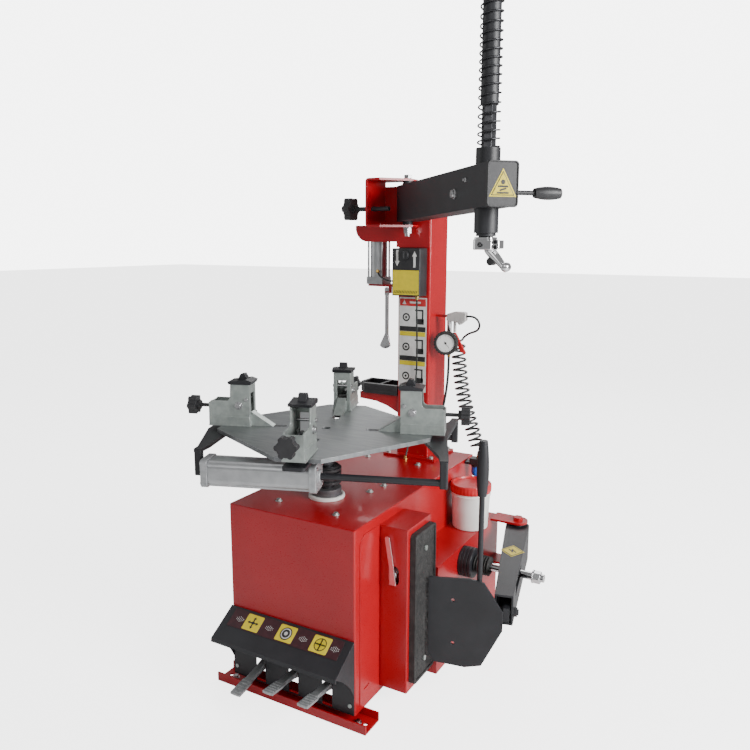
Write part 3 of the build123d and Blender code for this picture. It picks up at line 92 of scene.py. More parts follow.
# ---------------------------------------------------------------- materials
def finish_of(name, base, alt, rough, metallic=0.0, patch=30.0, grain=500.0, bump=0.15, wear_and_highlight_edge=None,
              wear_and_highlight_share=0.5, coat=0.0, stretch=(1, 1, 1)):
    """Procedural finish: patchy colour, grain in roughness and bump, rounded edges, and lighter edges that
    are partly wear and partly painted highlight.
    """
    mat = bpy.data.materials.new(name)
    mat.use_nodes = True
    tree = mat.node_tree
    link = tree.links.new
    shader = tree.nodes["Principled BSDF"]
    shader.inputs["Metallic"].default_value = metallic
    shader.inputs["Coat Weight"].default_value = coat
    place = tree.nodes.new("ShaderNodeTexCoord")
    mapping = tree.nodes.new("ShaderNodeMapping")
    mapping.inputs["Scale"].default_value = stretch
    link(place.outputs["Object"], mapping.inputs["Vector"])

    def noise_of(scale, detail):
        node = tree.nodes.new("ShaderNodeTexNoise")
        node.inputs["Scale"].default_value = scale
        node.inputs["Detail"].default_value = detail
        link(mapping.outputs["Vector"], node.inputs["Vector"])
        return node.outputs["Fac"]

    def spread(value, from_low, from_high, to_low, to_high):
        node = tree.nodes.new("ShaderNodeMapRange")
        for socket, number in zip(("From Min", "From Max", "To Min", "To Max"),
                                  (from_low, from_high, to_low, to_high)):
            node.inputs[socket].default_value = number
        link(value, node.inputs["Value"])
        return node.outputs["Result"]

    def mixed(factor, first, second):
        node = tree.nodes.new("ShaderNodeMix")
        node.data_type = "RGBA"
        link(factor, node.inputs["Factor"])
        for socket, value in (("A", first), ("B", second)):
            target = [s for s in node.inputs if s.name == socket and s.type == "RGBA"][0]
            if isinstance(value, tuple):
                target.default_value = (*value, 1)
            else:
                link(value, target)
        return [s for s in node.outputs if s.type == "RGBA"][0]

    patches, fine = noise_of(patch, 6), noise_of(grain, 3)
    colour = mixed(spread(patches, 0.35, 0.65, 0, 1), base, alt)
    rounded = tree.nodes.new("ShaderNodeBevel")
    rounded.samples = 4
    rounded.inputs["Radius"].default_value = 0.0014
    # Lighter colour on the edges found by the bevel normal: partly wear, partly a painted highlight.
    if wear_and_highlight_edge:
        geometry = tree.nodes.new("ShaderNodeNewGeometry")
        dot = tree.nodes.new("ShaderNodeVectorMath")
        dot.operation = "DOT_PRODUCT"
        link(rounded.outputs["Normal"], dot.inputs[0])
        link(geometry.outputs["Normal"], dot.inputs[1])
        wear_and_highlight = tree.nodes.new("ShaderNodeMath")
        wear_and_highlight.operation = "MULTIPLY"
        link(spread(dot.outputs["Value"], 0.86, 0.99, wear_and_highlight_share, 0), wear_and_highlight.inputs[0])
        link(spread(noise_of(90, 4), 0.4, 0.6, 0, 1), wear_and_highlight.inputs[1])
        colour = mixed(wear_and_highlight.outputs["Value"], colour, wear_and_highlight_edge)
    link(colour, shader.inputs["Base Color"])
    link(spread(fine, 0.3, 0.7, rough[0], rough[1]), shader.inputs["Roughness"])
    relief = tree.nodes.new("ShaderNodeBump")
    relief.inputs["Strength"].default_value = bump
    relief.inputs["Distance"].default_value = 0.0006
    link(fine, relief.inputs["Height"])
    link(rounded.outputs["Normal"], relief.inputs["Normal"])
    link(relief.outputs["Normal"], shader.inputs["Normal"])
    return mat


# The edge colours below are lighter than their bases: partly wear, partly a painted highlight on the edges.
RED = finish_of("red_paint", (0.40, 0.003, 0.008), (0.36, 0.002, 0.007), (0.26, 0.38), patch=6, grain=420,
                bump=0.10, wear_and_highlight_edge=(0.66, 0.05, 0.05), wear_and_highlight_share=0.4, coat=0.15)
BLACK = finish_of("black_paint", (0.010, 0.0105, 0.013), (0.016, 0.0165, 0.020), (0.40, 0.54), patch=9,
                  grain=600, bump=0.25, wear_and_highlight_edge=(0.10, 0.10, 0.11))
ZINC = finish_of("zinc_sheet", (0.40, 0.44, 0.415), (0.31, 0.345, 0.33), (0.30, 0.46), 0.6, patch=55,
                 grain=240, bump=0.12, wear_and_highlight_edge=(0.74, 0.76, 0.75), wear_and_highlight_share=0.8)
PLATE = finish_of("table_steel", (0.27, 0.28, 0.28), (0.20, 0.21, 0.22), (0.30, 0.48), 0.85, patch=12,
                  grain=320, bump=0.18, wear_and_highlight_edge=(0.80, 0.80, 0.80), wear_and_highlight_share=0.9, stretch=(1, 7, 1))
STEEL = finish_of("bright_steel", (0.55, 0.55, 0.56), (0.44, 0.44, 0.45), (0.20, 0.34), 1.0, patch=40,
                  grain=700, bump=0.08, wear_and_highlight_edge=(0.8, 0.8, 0.8))
CHROME = finish_of("chrome", (0.82, 0.82, 0.83), (0.74, 0.74, 0.75), (0.05, 0.14), 1.0, patch=22,
                   grain=260, bump=0.02)
ALU = finish_of("aluminium", (0.52, 0.53, 0.54), (0.44, 0.45, 0.46), (0.28, 0.42), 0.9, patch=30,
                grain=500, bump=0.10, wear_and_highlight_edge=(0.82, 0.82, 0.82))
CAST = finish_of("cast_aluminium", (0.47, 0.48, 0.49), (0.36, 0.37, 0.38), (0.42, 0.62), 0.7, patch=70,
                 grain=380, bump=0.55, wear_and_highlight_edge=(0.75, 0.75, 0.74), wear_and_highlight_share=0.9)
IRON = finish_of("cast_iron", (0.10, 0.10, 0.11), (0.15, 0.14, 0.14), (0.5, 0.7), 0.6, grain=300, bump=0.7)
PLASTIC = finish_of("black_plastic", (0.016, 0.016, 0.018), (0.026, 0.026, 0.028), (0.38, 0.55), patch=20,
                    grain=900, bump=0.35, wear_and_highlight_edge=(0.07, 0.07, 0.07))
RUBBER = finish_of("rubber", (0.014, 0.014, 0.014), (0.030, 0.029, 0.028), (0.55, 0.78), patch=45,
                   grain=650, bump=0.5, wear_and_highlight_edge=(0.08, 0.078, 0.075))
HOSE = finish_of("hose", (0.012, 0.014, 0.014), (0.024, 0.028, 0.027), (0.22, 0.36), patch=60, grain=300,
                 bump=0.08)
WHITE = finish_of("white_plastic", (0.84, 0.84, 0.81), (0.76, 0.76, 0.72), (0.30, 0.45), patch=14,
                  grain=500, bump=0.08)
LID = finish_of("red_plastic", (0.60, 0.02, 0.025), (0.50, 0.014, 0.018), (0.25, 0.38), patch=24, grain=500,
                bump=0.12)
BLUE = finish_of("blue_bowl", (0.02, 0.13, 0.55), (0.015, 0.09, 0.42), (0.08, 0.18), patch=20, grain=200,
                 bump=0.03, coat=0.6)
INK = finish_of("black_print", (0.015, 0.015, 0.015), (0.028, 0.028, 0.028), (0.4, 0.55), patch=60,
                grain=800, bump=0.05)
YELLOW, PRINT, MAROON, SIGNAL = (
    finish_of(f"{name}_print", base, alt, (0.35, 0.5), patch=60, grain=800, bump=0.05)
    for name, base, alt in (("yellow", (0.72, 0.58, 0.02), (0.64, 0.52, 0.02)),
                            ("white", (0.72, 0.72, 0.70), (0.62, 0.62, 0.60)),
                            ("maroon", (0.030, 0.006, 0.010), (0.045, 0.010, 0.014)),
                            ("red", (0.55, 0.03, 0.03), (0.48, 0.02, 0.02))))
BRASS = finish_of("brass", (0.62, 0.42, 0.14), (0.50, 0.33, 0.10), (0.22, 0.36), 1.0, patch=60, grain=500,
                  bump=0.1)
DARK_STEEL = finish_of("dark_spring_steel", (0.045, 0.046, 0.050), (0.075, 0.075, 0.080), (0.26, 0.40), 0.9,
                       patch=60, grain=500, bump=0.1)
DIAL = finish_of("dial_face", (0.86, 0.86, 0.84), (0.80, 0.80, 0.78), (0.25, 0.35), patch=20, grain=500,
                 bump=0.03, coat=0.8)
PALE = finish_of("pale_cast_head", (0.62, 0.60, 0.58), (0.52, 0.50, 0.49), (0.35, 0.5), 0.3, patch=50,
                 grain=500, bump=0.2)

SLOT_FINISH = {"red_paint": RED, "black_paint": BLACK, "grey_paint": IRON, "zinc": ZINC, "steel": STEEL,
               "chrome": CHROME, "cast": IRON, "aluminium": ALU, "black_plastic": PLASTIC,
               "red_plastic": LID, "white_plastic": WHITE, "blue_plastic": BLUE, "rubber": RUBBER}
OWN_FINISH = {"turntable_plate": PLATE, "pedal_left": CAST, "pedal_middle": CAST, "pedal_right": CAST,
              "lift_post": RED, "pedal_box": IRON, "air_hoses": HOSE, "hex_shaft": DARK_STEEL,
              "table_spindle": DARK_STEEL}
for part in frame["record"]["subparts"]:
    for holder in frame["nodes"][part["node"]].material_slots:
        holder.material = OWN_FINISH.get(part["node"], SLOT_FINISH[part["material_slot"]])


# ---------------------------------------------------------------- mesh helpers
def finish_piece(name, mesh, body, material, replaces=(), bevel=0.0, smooth=True):
    """Link a mesh as a piece, ride it on its body and give it its finish."""
    piece = bpy.data.objects.new(name, mesh)
    scene.collection.objects.link(piece)
    for finish in material if isinstance(material, list) else [material]:
        mesh.materials.append(finish)
    for face in mesh.polygons:
        face.use_smooth = smooth
    if smooth:
        mesh.set_sharp_from_angle(angle=math.radians(38))
    if bevel:
        soft = piece.modifiers.new("edges", "BEVEL")
        soft.width = bevel
        soft.segments = 3
        soft.limit_method = "ANGLE"
        soft.harden_normals = False
    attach(piece, body)
    if replaces:
        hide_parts(*replaces)
    return piece


def as_mesh(name, build):
    """Run build(bm) on a new bmesh and return it as a mesh with outward normals."""
    bm = bmesh.new()
    build(bm)
    bmesh.ops.recalc_face_normals(bm, faces=bm.faces)
    mesh = bpy.data.meshes.new(name)
    bm.to_mesh(mesh)
    bm.free()
    return mesh


def basis(origin, z_axis, x_axis=None):
    """Matrix of a local frame with a given Z and, if given, a given X."""
    z = Vector(z_axis).normalized()
    x = Vector(x_axis) if x_axis else Vector((0, 0, 1)) if abs(z.z) < 0.9 else Vector((1, 0, 0))
    x = (x - z * x.dot(z)).normalized()
    return Matrix.Translation(origin) @ Matrix((x, z.cross(x), z)).transposed().to_4x4()


def skin(bm, rings, closed=False, index=0):
    """Faces between neighbouring rings of vertices; a ring of one vertex is a pole."""
    for first, second in zip(rings, rings[1:] + rings[:1] if closed else rings[1:]):
        steps = max(len(first), len(second))
        for i in range(steps):
            j = (i + 1) % steps
            corners = list(dict.fromkeys((first[i % len(first)], first[j % len(first)],
                                          second[j % len(second)], second[i % len(second)])))
            if len(corners) > 2:
                bm.faces.new(corners).material_index = index


def add_lathe(bm, frame_at, profile, steps=48, index=0, ring=False):
    """Body of revolution about the frame's Z; profile is (radius, height), axis to axis or a closed ring."""
    rings = []
    for radius, height in profile:
        outline = polygon(radius, steps) if radius else [(0, 0)]
        rings.append([bm.verts.new(frame_at @ Vector((x, y, height))) for x, y in outline])
    skin(bm, rings, ring, index)


def add_loft(bm, sections):
    """Closed skin through loops of points that all have the same number of points."""
    rings = [[bm.verts.new(point) for point in section] for section in sections]
    for end in (rings[0][::-1], rings[-1]):
        bm.faces.new(end)
    skin(bm, rings)


def add_prism(bm, frame_at, outline, depth, index=0):
    """Prism of a closed outline in the frame's XY, from its plane up by depth."""
    base, top = ([bm.verts.new(frame_at @ Vector((x, y, z))) for x, y in outline] for z in (0, depth))
    for end in (base[::-1], top):
        bm.faces.new(end).material_index = index
    skin(bm, [base, top], index=index)


def rectangle(width, height):
    x, y = width / 2, height / 2
    return [(-x, -y), (x, -y), (x, y), (-x, y)]


def polygon(radius, sides, start=0.0):
    return [(radius * math.cos(a), radius * math.sin(a))
            for a in (start + 2 * math.pi * i / sides for i in range(sides))]


def knurled(radius, steps, depth):
    """Circle with square grip notches of a given depth."""
    return [((radius - depth * (i % 4 < 2)) * math.cos(2 * math.pi * i / steps),
             (radius - depth * (i % 4 < 2)) * math.sin(2 * math.pi * i / steps)) for i in range(steps)]


def rounded(width, height, radius, steps=6):
    """Rectangle with round corners."""
    points = []
    for cx, cy, start in ((1, 1, 0), (-1, 1, 90), (-1, -1, 180), (1, -1, 270)):
        for i in range(steps + 1):
            a = math.radians(start + 90 * i / steps)
            points.append((cx * (width / 2 - radius) + radius * math.cos(a),
                           cy * (height / 2 - radius) + radius * math.sin(a)))
    return points


def lathe(name, origin, axis, profile, body, material, replaces=(), steps=48):
    at = basis(origin, axis)
    mesh = as_mesh(name, lambda bm: add_lathe(bm, at, profile, steps))
    return finish_piece(name, mesh, body, material, replaces)


def prisms(name, items, body, material, replaces=(), bevel=0.0):
    """One piece of several prisms: items are (matrix, outline, depth)."""
    def build(bm):
        for at, outline, depth in items:
            add_prism(bm, at, outline, depth)
    return finish_piece(name, as_mesh(name, build), body, material, replaces, bevel, smooth=False)


def print_on(name, at, shapes, body):
    """Thin printed plates stacked on a surface: shapes are (outline, finish, level) in the frame's XY."""
    finishes = list(dict.fromkeys(finish for _, finish, _ in shapes))

    def build(bm):
        for outline, finish, level in shapes:
            lift = Matrix.Translation((0, 0, 0.0001 + 0.0003 * level))
            add_prism(bm, at @ lift, outline, 0.0003, finishes.index(finish))
    return finish_piece(name, as_mesh(name, build), body, finishes, smooth=False)


def shifted(outline, x, y, turn=0.0):
    """Outline turned by degrees, then moved."""
    c, s = math.cos(math.radians(turn)), math.sin(math.radians(turn))
    return [(x + px * c - py * s, y + px * s + py * c) for px, py in outline]


def wire_mesh(name, points, radius):
    """Mesh of a round wire along a smooth line."""
    wire = curve_of(name, points, radius)
    bpy.context.view_layer.update()
    mesh = bpy.data.meshes.new_from_object(wire.evaluated_get(bpy.context.evaluated_depsgraph_get()))
    bpy.data.objects.remove(wire)
    mesh.materials.clear()
    return mesh


def curve_of(name, points, radius=0.0):
    """Open NURBS curve of order 3 through its end points, as a tube if it has a radius."""
    data = bpy.data.curves.new(name, "CURVE")
    data.dimensions = "3D"
    spline = data.splines.new("NURBS")
    spline.points.add(len(points) - 1)
    for point, place in zip(spline.points, points):
        point.co = (*place, 1)
    spline.order_u = 3
    spline.use_endpoint_u = True
    data.resolution_u = 6
    data.bevel_depth = radius
    data.bevel_resolution = 4
    data.use_fill_caps = True
    piece = bpy.data.objects.new(name, data)
    scene.collection.objects.link(piece)
    return piece


def line_of(points):
    """Points along the route's own NURBS spline."""
    route = curve_of("route", points)
    route.data.resolution_u = 24
    bpy.context.view_layer.update()
    mesh = bpy.data.meshes.new_from_object(route.evaluated_get(bpy.context.evaluated_depsgraph_get()))
    line = [vertex.co.copy() for vertex in mesh.vertices]
    bpy.data.objects.remove(route)
    bpy.data.meshes.remove(mesh)
    return line


def along(line, share):
    """Point and direction at a share of a line's length."""
    steps = [(b - a).length for a, b in zip(line, line[1:])]
    target = share * sum(steps)
    for a, b, step in zip(line, line[1:], steps):
        if target <= step:
            return a.lerp(b, target / step), (b - a).normalized()
        target -= step
    return line[-1].copy(), (line[-1] - line[-2]).normalized()


# ---------------------------------------------------------------- curly supply hose
HOSE_D, HOSE_LENGTH = 0.0078, 2.83
LEAD = [(0.222, 0.342, 1.131), (0.246, 0.342, 1.133), (0.265, 0.343, 1.121), (0.271, 0.349, 1.101),
        (0.262, 0.356, 1.083), (0.243, 0.363, 1.074), (0.221, 0.369, 1.067), (0.199, 0.374, 1.051)]
COIL = [(0.175, 0.376, 1.050), (0.189, 0.372, 0.908), (0.217, 0.367, 0.795), (0.257, 0.364, 0.688),
        (0.273, 0.365, 0.632)]


def curly_hose():
    """Lead from the inflator, then turns that open up towards the top, down to the filter unit."""
    turns, per_turn, radius = 18, 16, 0.0238
    line = line_of(COIL)
    points = list(LEAD)
    for i in range(1, turns * per_turn + 1):
        share = i / (turns * per_turn)
        centre, forward = along(line, 0.02 + 0.94 * share ** 0.93)
        side = Vector((1, 0, 0)) - forward * forward.x
        side.normalize()
        up = forward.cross(side)
        angle = 2 * math.pi * i / per_turn
        swell = radius * (1 - 0.35 * max(0, share - 0.95) / 0.05)
        points.append(centre + swell * (side * math.cos(angle) + up * math.sin(angle)))
    points.append(Vector(COIL[-1]) + Vector((0.004, 0, 0.010)))
    points.append(Vector(COIL[-1]))
    hose = curve_of("supply_hose", points, HOSE_D / 2)
    hose.data.resolution_u = 3
    hose.data.materials.append(HOSE)
    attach(hose, "frame")
    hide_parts("hose_lead", "curly_hose")


curly_hose()


# ---------------------------------------------------------------- places taken from the frame
UP = Vector((0, 0, 1))
HUB = Vector(joints["turntable_spin"]["pos_m"])
ARM_PIVOT = Vector(joints["arm_swing"]["pos_m"])
ARM_OUT = Vector(joints["lock_lever_turn"]["axis"])          # along the swing arm
ARM_SIDE = UP.cross(ARM_OUT)                                # towards the lock lever
BEAD_PIVOT = Vector(joints["bead_arm_swing"]["pos_m"])
BLADE_PIN = Vector(joints["blade_tilt"]["pos_m"])
BLADE_SIDE = Vector(joints["blade_tilt"]["axis"])
TABLE_OUT = -Vector(joints["jaw_right_slide"]["axis"])       # along the right jaw
TABLE_SIDE = UP.cross(TABLE_OUT)


# ---------------------------------------------------------------- tool shaft
def spring():
    """Return spring over the tool shaft."""
    turns, per_turn, wire = 20, 20, 0.0021
    axis = middle("hex_shaft")
    bottom, top = low("shaft_spring").z, high("shaft_spring").z
    reach = (high("shaft_spring").x - low("shaft_spring").x) / 2 - wire
    points = []
    for i in range(turns * per_turn + 1):
        share = i / (turns * per_turn)
        angle = 2 * math.pi * i / per_turn
        height = bottom + wire + (top - bottom - 2 * wire) * (share - 0.006 * math.sin(4 * math.pi * share))
        points.append((axis.x + reach * math.cos(angle), axis.y + reach * math.sin(angle), height))
    mesh = wire_mesh("return_spring", points, wire)
    piece = finish_piece("return_spring", mesh, "arm", DARK_STEEL, ("shaft_spring",))
    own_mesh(piece)


def mount_head():
    """Chromed clamp block and duckbill with its round foot, roller insert and clamp screws."""
    axis = middle("hex_shaft")
    floor, roof = low("mount_head").z, high("mount_head").z
    right, back = Vector((1, 0, 0)), Vector((0, 1, 0))

    def at(along, across, height):
        return Vector((axis.x, axis.y, 0)) + right * along + back * across + UP * height

    def block(bm):
        for start, height, width in ((roof - 0.032, 0.026, 0.054), (roof - 0.007, 0.007, 0.050)):
            add_prism(bm, basis(at(0, 0, start), UP, right), rounded(width, width, 0.012), height)
        add_prism(bm, basis(at(0.030, 0, roof - 0.029), UP, right), rounded(0.026, 0.040, 0.006), 0.021)
    finish_piece("head_block", as_mesh("head_block", block), "shaft", CHROME, ("mount_head",),
                 bevel=0.0022, smooth=False)

    def bill(bm):
        stations = ((0.002, -0.010, 0.011, 0.017), (0.012, -0.022, 0.013, 0.017),
                    (0.024, -0.034, 0.013, 0.0165), (0.036, -0.046, 0.0105, 0.0155),
                    (0.046, -0.057, 0.0085, 0.0145), (0.054, -0.067, 0.008, 0.013),
                    (0.059, -0.073, 0.006, 0.010))
        sections = []
        for along_x, drop, thick, half in stations:
            centre = at(along_x, 0, roof - 0.012 + drop)
            normal = (UP * 0.72 + right * 0.69).normalized()
            sections.append([centre + normal * thick * math.sin(a) + back * half * math.cos(a)
                             for a in (2 * math.pi * i / 28 for i in range(28))])
        add_loft(bm, sections)
    duck = finish_piece("duckbill", as_mesh("duckbill", bill), "shaft", CHROME)
    soft = duck.modifiers.new("smooth", "SUBSURF")
    soft.levels = soft.render_levels = 1
    ball = 0.0125
    lathe("head_foot", at(0.0555, -0.0165, floor + ball), back,
          [(0, 0)] + [(ball * math.sin(a) ** 0.6, 0.033 * (1 - math.cos(a)) / 2)
                      for a in (math.pi * i / 14 for i in range(1, 14))] + [(0, 0.033)],
          "shaft", CHROME)
    lathe("head_roller", at(0.018, -0.013, floor + 0.026), back,
          [(0, 0), (0.009, 0), (0.0105, 0.002), (0.0085, 0.013), (0.0105, 0.024), (0.009, 0.026), (0, 0.026)],
          "shaft", PLASTIC)

    def screws(bm):
        socket = [(0, 0), (0.0052, 0), (0.0052, 0.0035), (0.0046, 0.004), (0.0028, 0.004), (0.0028, 0.0015),
                  (0, 0.0015)]
        for height in (roof - 0.012, roof - 0.025):
            add_lathe(bm, basis(at(0.034, -0.0195, height), -back), socket, 20)
        add_lathe(bm, basis(at(-0.004, -0.026, roof - 0.019), -back), [(0, 0), (0.0062, 0), (0.0062, 0.0045),
                  (0.0034, 0.0045), (0.0034, 0.001), (0, 0.001)], 20)
    finish_piece("head_screws", as_mesh("head_screws", screws), "shaft", DARK_STEEL)


def arm_details():
    """Side plug, end-cap rim and the printed triangle of the swing arm."""
    half_width = 0.0375
    spot = ARM_PIVOT + ARM_OUT * 0.600 - ARM_SIDE * half_width
    spot.z = 1.518
    lathe("arm_plug", spot, -ARM_SIDE, [(0, -0.001), (0.0135, -0.001), (0.0135, 0.003), (0.0125, 0.004),
          (0.0105, 0.004), (0.0105, 0.009), (0.0098, 0.0105), (0, 0.0105)], "arm", STEEL)
    lathe("arm_grease_point", spot + ARM_OUT * 0.085 + UP * 0.030, -ARM_SIDE,
          [(0, -0.001), (0.006, -0.001), (0.006, 0.003), (0.0035, 0.004), (0.0035, 0.008), (0, 0.009)],
          "arm", STEEL)
    face = middle("arm_end_cap") + ARM_OUT * 0.0036
    at = basis(face, ARM_OUT, -ARM_SIDE)
    across = at.to_3x3().inverted() @ UP
    spin = Matrix.Rotation(math.atan2(across.y, across.x) - math.pi / 2, 4, "Z")
    at = at @ spin
    triangle = [(-0.035, -0.030), (0.035, -0.030), (0.0, 0.036)]

    def inset(share):
        return [(x * share, (y + 0.008) * share - 0.008) for x, y in triangle]
    shapes = [(triangle, YELLOW, 0), (inset(0.86), INK, 1), (inset(0.78), YELLOW, 2),
              (shifted(polygon(0.0055, 18), 0, 0.004), INK, 3),
              (shifted(rounded(0.026, 0.004, 0.0015), 0, -0.006), INK, 3),
              (shifted(rounded(0.018, 0.004, 0.0015), 0, -0.013, 18), INK, 3),
              (shifted(rounded(0.030, 0.004, 0.0015), 0, -0.021), INK, 3)]
    print_on("arm_end_print", at, shapes, "arm")

    def rim(bm):
        outer, inner = rounded(0.080, 0.108, 0.010), rounded(0.073, 0.101, 0.007)
        foot, crest, taper = 0.0001, 0.0022, 0.985
        shoulder = [(x * taper, y * taper) for x, y in outer]
        rows = ((outer, foot), (shoulder, crest), (inner, crest), (inner, foot))
        skin(bm, [[bm.verts.new(at @ Vector((x, y, z))) for x, y in row] for row, z in rows], closed=True)
    finish_piece("end_cap_rim", as_mesh("end_cap_rim", rim), "arm", PLASTIC)


spring()
mount_head()
arm_details()


# ---------------------------------------------------------------- turntable
def jaw_details():
    """Bolts, cross bar, rubber block and folded foot of each adaptor."""
    inner, length, foot, half, sheet = 0.236, 0.134, 0.031, 0.029, 0.0016
    base = low("adaptor_right").z
    bolt = [(0, 0), (0.0125, 0), (0.0125, 0.0016), (0.0085, 0.0018), (0.0085, 0.0072), (0.0072, 0.0084),
            (0, 0.0084)]
    for name, turn in (("right", 0), ("back", 90), ("left", 180), ("front", 270)):
        out = Matrix.Rotation(math.radians(turn), 3, "Z") @ TABLE_OUT
        side = UP.cross(out)

        def at(along_out, across, height):
            return Vector((HUB.x, HUB.y, base)) + out * along_out + side * across + UP * height

        def folds(bm):
            outline = [(0, 0), (length, 0), (length, foot), (0.004, foot), (0, foot - 0.006)]
            for across in (-half, half + sheet):
                add_prism(bm, basis(at(inner, across, 0), -side, out), outline, sheet)
            for sign in (-1, 1):
                foot_at = basis(at(inner + 0.01, sign * 0.0215, 0.0), UP, out)
                add_prism(bm, foot_at, rectangle(0.020, 0.004), 0.060)
        finish_piece(f"adaptor_fold_{name}", as_mesh("fold", folds), f"jaw_{name}", ZINC,
                     bevel=0.0006, smooth=False)

        def bolts(bm):
            for sign in (-1, 1):
                add_lathe(bm, basis(at(inner + 0.036, sign * half, 0.066), side * sign), bolt, 28)
                add_lathe(bm, basis(at(inner + 0.011, sign * half, 0.086), side * sign),
                          [(0, 0), (0.0062, 0), (0.0055, 0.004), (0, 0.0045)], 20)
            add_lathe(bm, basis(at(inner + 0.011, -half, 0.086), side),
                      [(0, 0), (0.0042, 0), (0.0042, 2 * half), (0, 2 * half)], 20)
        finish_piece(f"adaptor_bolts_{name}", as_mesh("bolts", bolts), f"jaw_{name}", STEEL)
        cushion = (basis(at(inner + 0.012, 0, 0.030), out, side), rounded(0.030, 0.044, 0.004), 0.010)
        prisms(f"jaw_block_{name}", [cushion], f"jaw_{name}", RUBBER, bevel=0.001)


def table_cylinders():
    """Jaw cylinders: drawn square-shouldered barrels, end blocks with screws, and air fittings."""
    box_low, box_high = low("table_cylinders"), high("table_cylinders")
    height = (box_low.z + box_high.z) / 2
    rear, front, cap, reach = -0.300, 0.036, 0.020, 0.240

    def place(along_out, across, up=0.0):
        return Vector((HUB.x, HUB.y, height + up)) + TABLE_OUT * along_out + TABLE_SIDE * across

    def lying(along_out, across, up=0.0):
        return basis(place(along_out, across, up), TABLE_OUT, TABLE_SIDE)

    def barrels(bm):
        length, rail = front - rear - 2 * cap, rounded(0.009, 0.007, 0.002)
        for across in (-reach, reach):
            add_prism(bm, lying(rear + cap, across), rounded(0.072, 0.074, 0.020), length)
            for lift in (-0.0345, 0.0345):
                for shift in (-0.024, 0.024):
                    add_prism(bm, lying(rear + cap, across + shift, lift), rail, length)
    finish_piece("jaw_barrels", as_mesh("jaw_barrels", barrels), "jaw_left", ALU,
                 ("table_cylinders",), 0.0008, smooth=False)

    def blocks(bm):
        seal = [(0.0112, 0), (0.020, 0), (0.020, 0.005), (0.018, 0.007), (0.0112, 0.007)]
        for across in (-reach, reach):
            for start in (rear, front - cap):
                add_prism(bm, lying(start, across), rounded(0.082, 0.082, 0.012), cap)
            add_lathe(bm, basis(place(rear - 0.006, across), TABLE_OUT), [(0, 0), (0.017, 0), (0.018, 0.002),
                      (0.018, 0.007), (0, 0.007)], 32)
            add_lathe(bm, basis(place(front - 0.001, across), TABLE_OUT), seal, 32, ring=True)
    finish_piece("jaw_end_blocks", as_mesh("jaw_end_blocks", blocks), "jaw_left", CAST,
                 bevel=0.0014, smooth=False)

    def screws(bm):
        for across in (-reach, reach):
            for end, sign in ((rear, -1), (front, 1)):
                for lift in (-0.029, 0.029):
                    for shift in (-0.029, 0.029):
                        seat = place(end - 0.001 * sign, across + shift, lift)
                        add_prism(bm, basis(seat, TABLE_OUT * sign, UP), polygon(0.0062, 6), 0.0045)
    finish_piece("jaw_cylinder_screws", as_mesh("jaw_cylinder_screws", screws), "jaw_left", STEEL,
                 bevel=0.0005, smooth=False)

    def fittings(bm):
        for across in (-reach, reach):
            inward = -TABLE_SIDE if across > 0 else TABLE_SIDE
            for along_out in (rear + 0.010, front - 0.010):
                start = place(along_out, across) + inward * 0.0405
                add_prism(bm, basis(start, inward, UP), polygon(0.0075, 6), 0.007)
                add_lathe(bm, basis(start + inward * 0.007, inward), [(0, 0), (0.0055, 0), (0.0055, 0.009),
                          (0.0035, 0.011), (0, 0.011)], 20)
    finish_piece("jaw_cylinder_fittings", as_mesh("jaw_cylinder_fittings", fittings), "jaw_left", BRASS,
                 smooth=False)


def hub_ring():
    """Pale wiper ring round the hub and the grooved rotary air joint under the table."""
    at = Matrix.Translation((HUB.x, HUB.y, 0))

    def ring(bm):
        add_lathe(bm, at, [(0.0476, 0.6113), (0.0545, 0.6113), (0.0572, 0.6085), (0.0575, 0.6006),
                           (0.0545, 0.6006), (0.0542, 0.6108)], 64, ring=True)
    finish_piece("hub_wiper", as_mesh("hub_wiper", ring), "frame", WHITE)

    def joint(bm):
        loop = [(0.0384, 0.6460)]
        for i in range(4):
            z = 0.6480 + 0.0135 * i
            loop += [(0.0455, z), (0.0470, z + 0.0015), (0.0470, z + 0.0085), (0.0455, z + 0.0100),
                     (0.0405, z + 0.0105), (0.0405, z + 0.0130)]
        loop += [(0.0384, 0.7035)]
        add_lathe(bm, at, loop, 64, ring=True)
    finish_piece("rotary_air_joint", as_mesh("rotary_air_joint", joint), "table", PLASTIC)


jaw_details()
table_cylinders()
hub_ring()


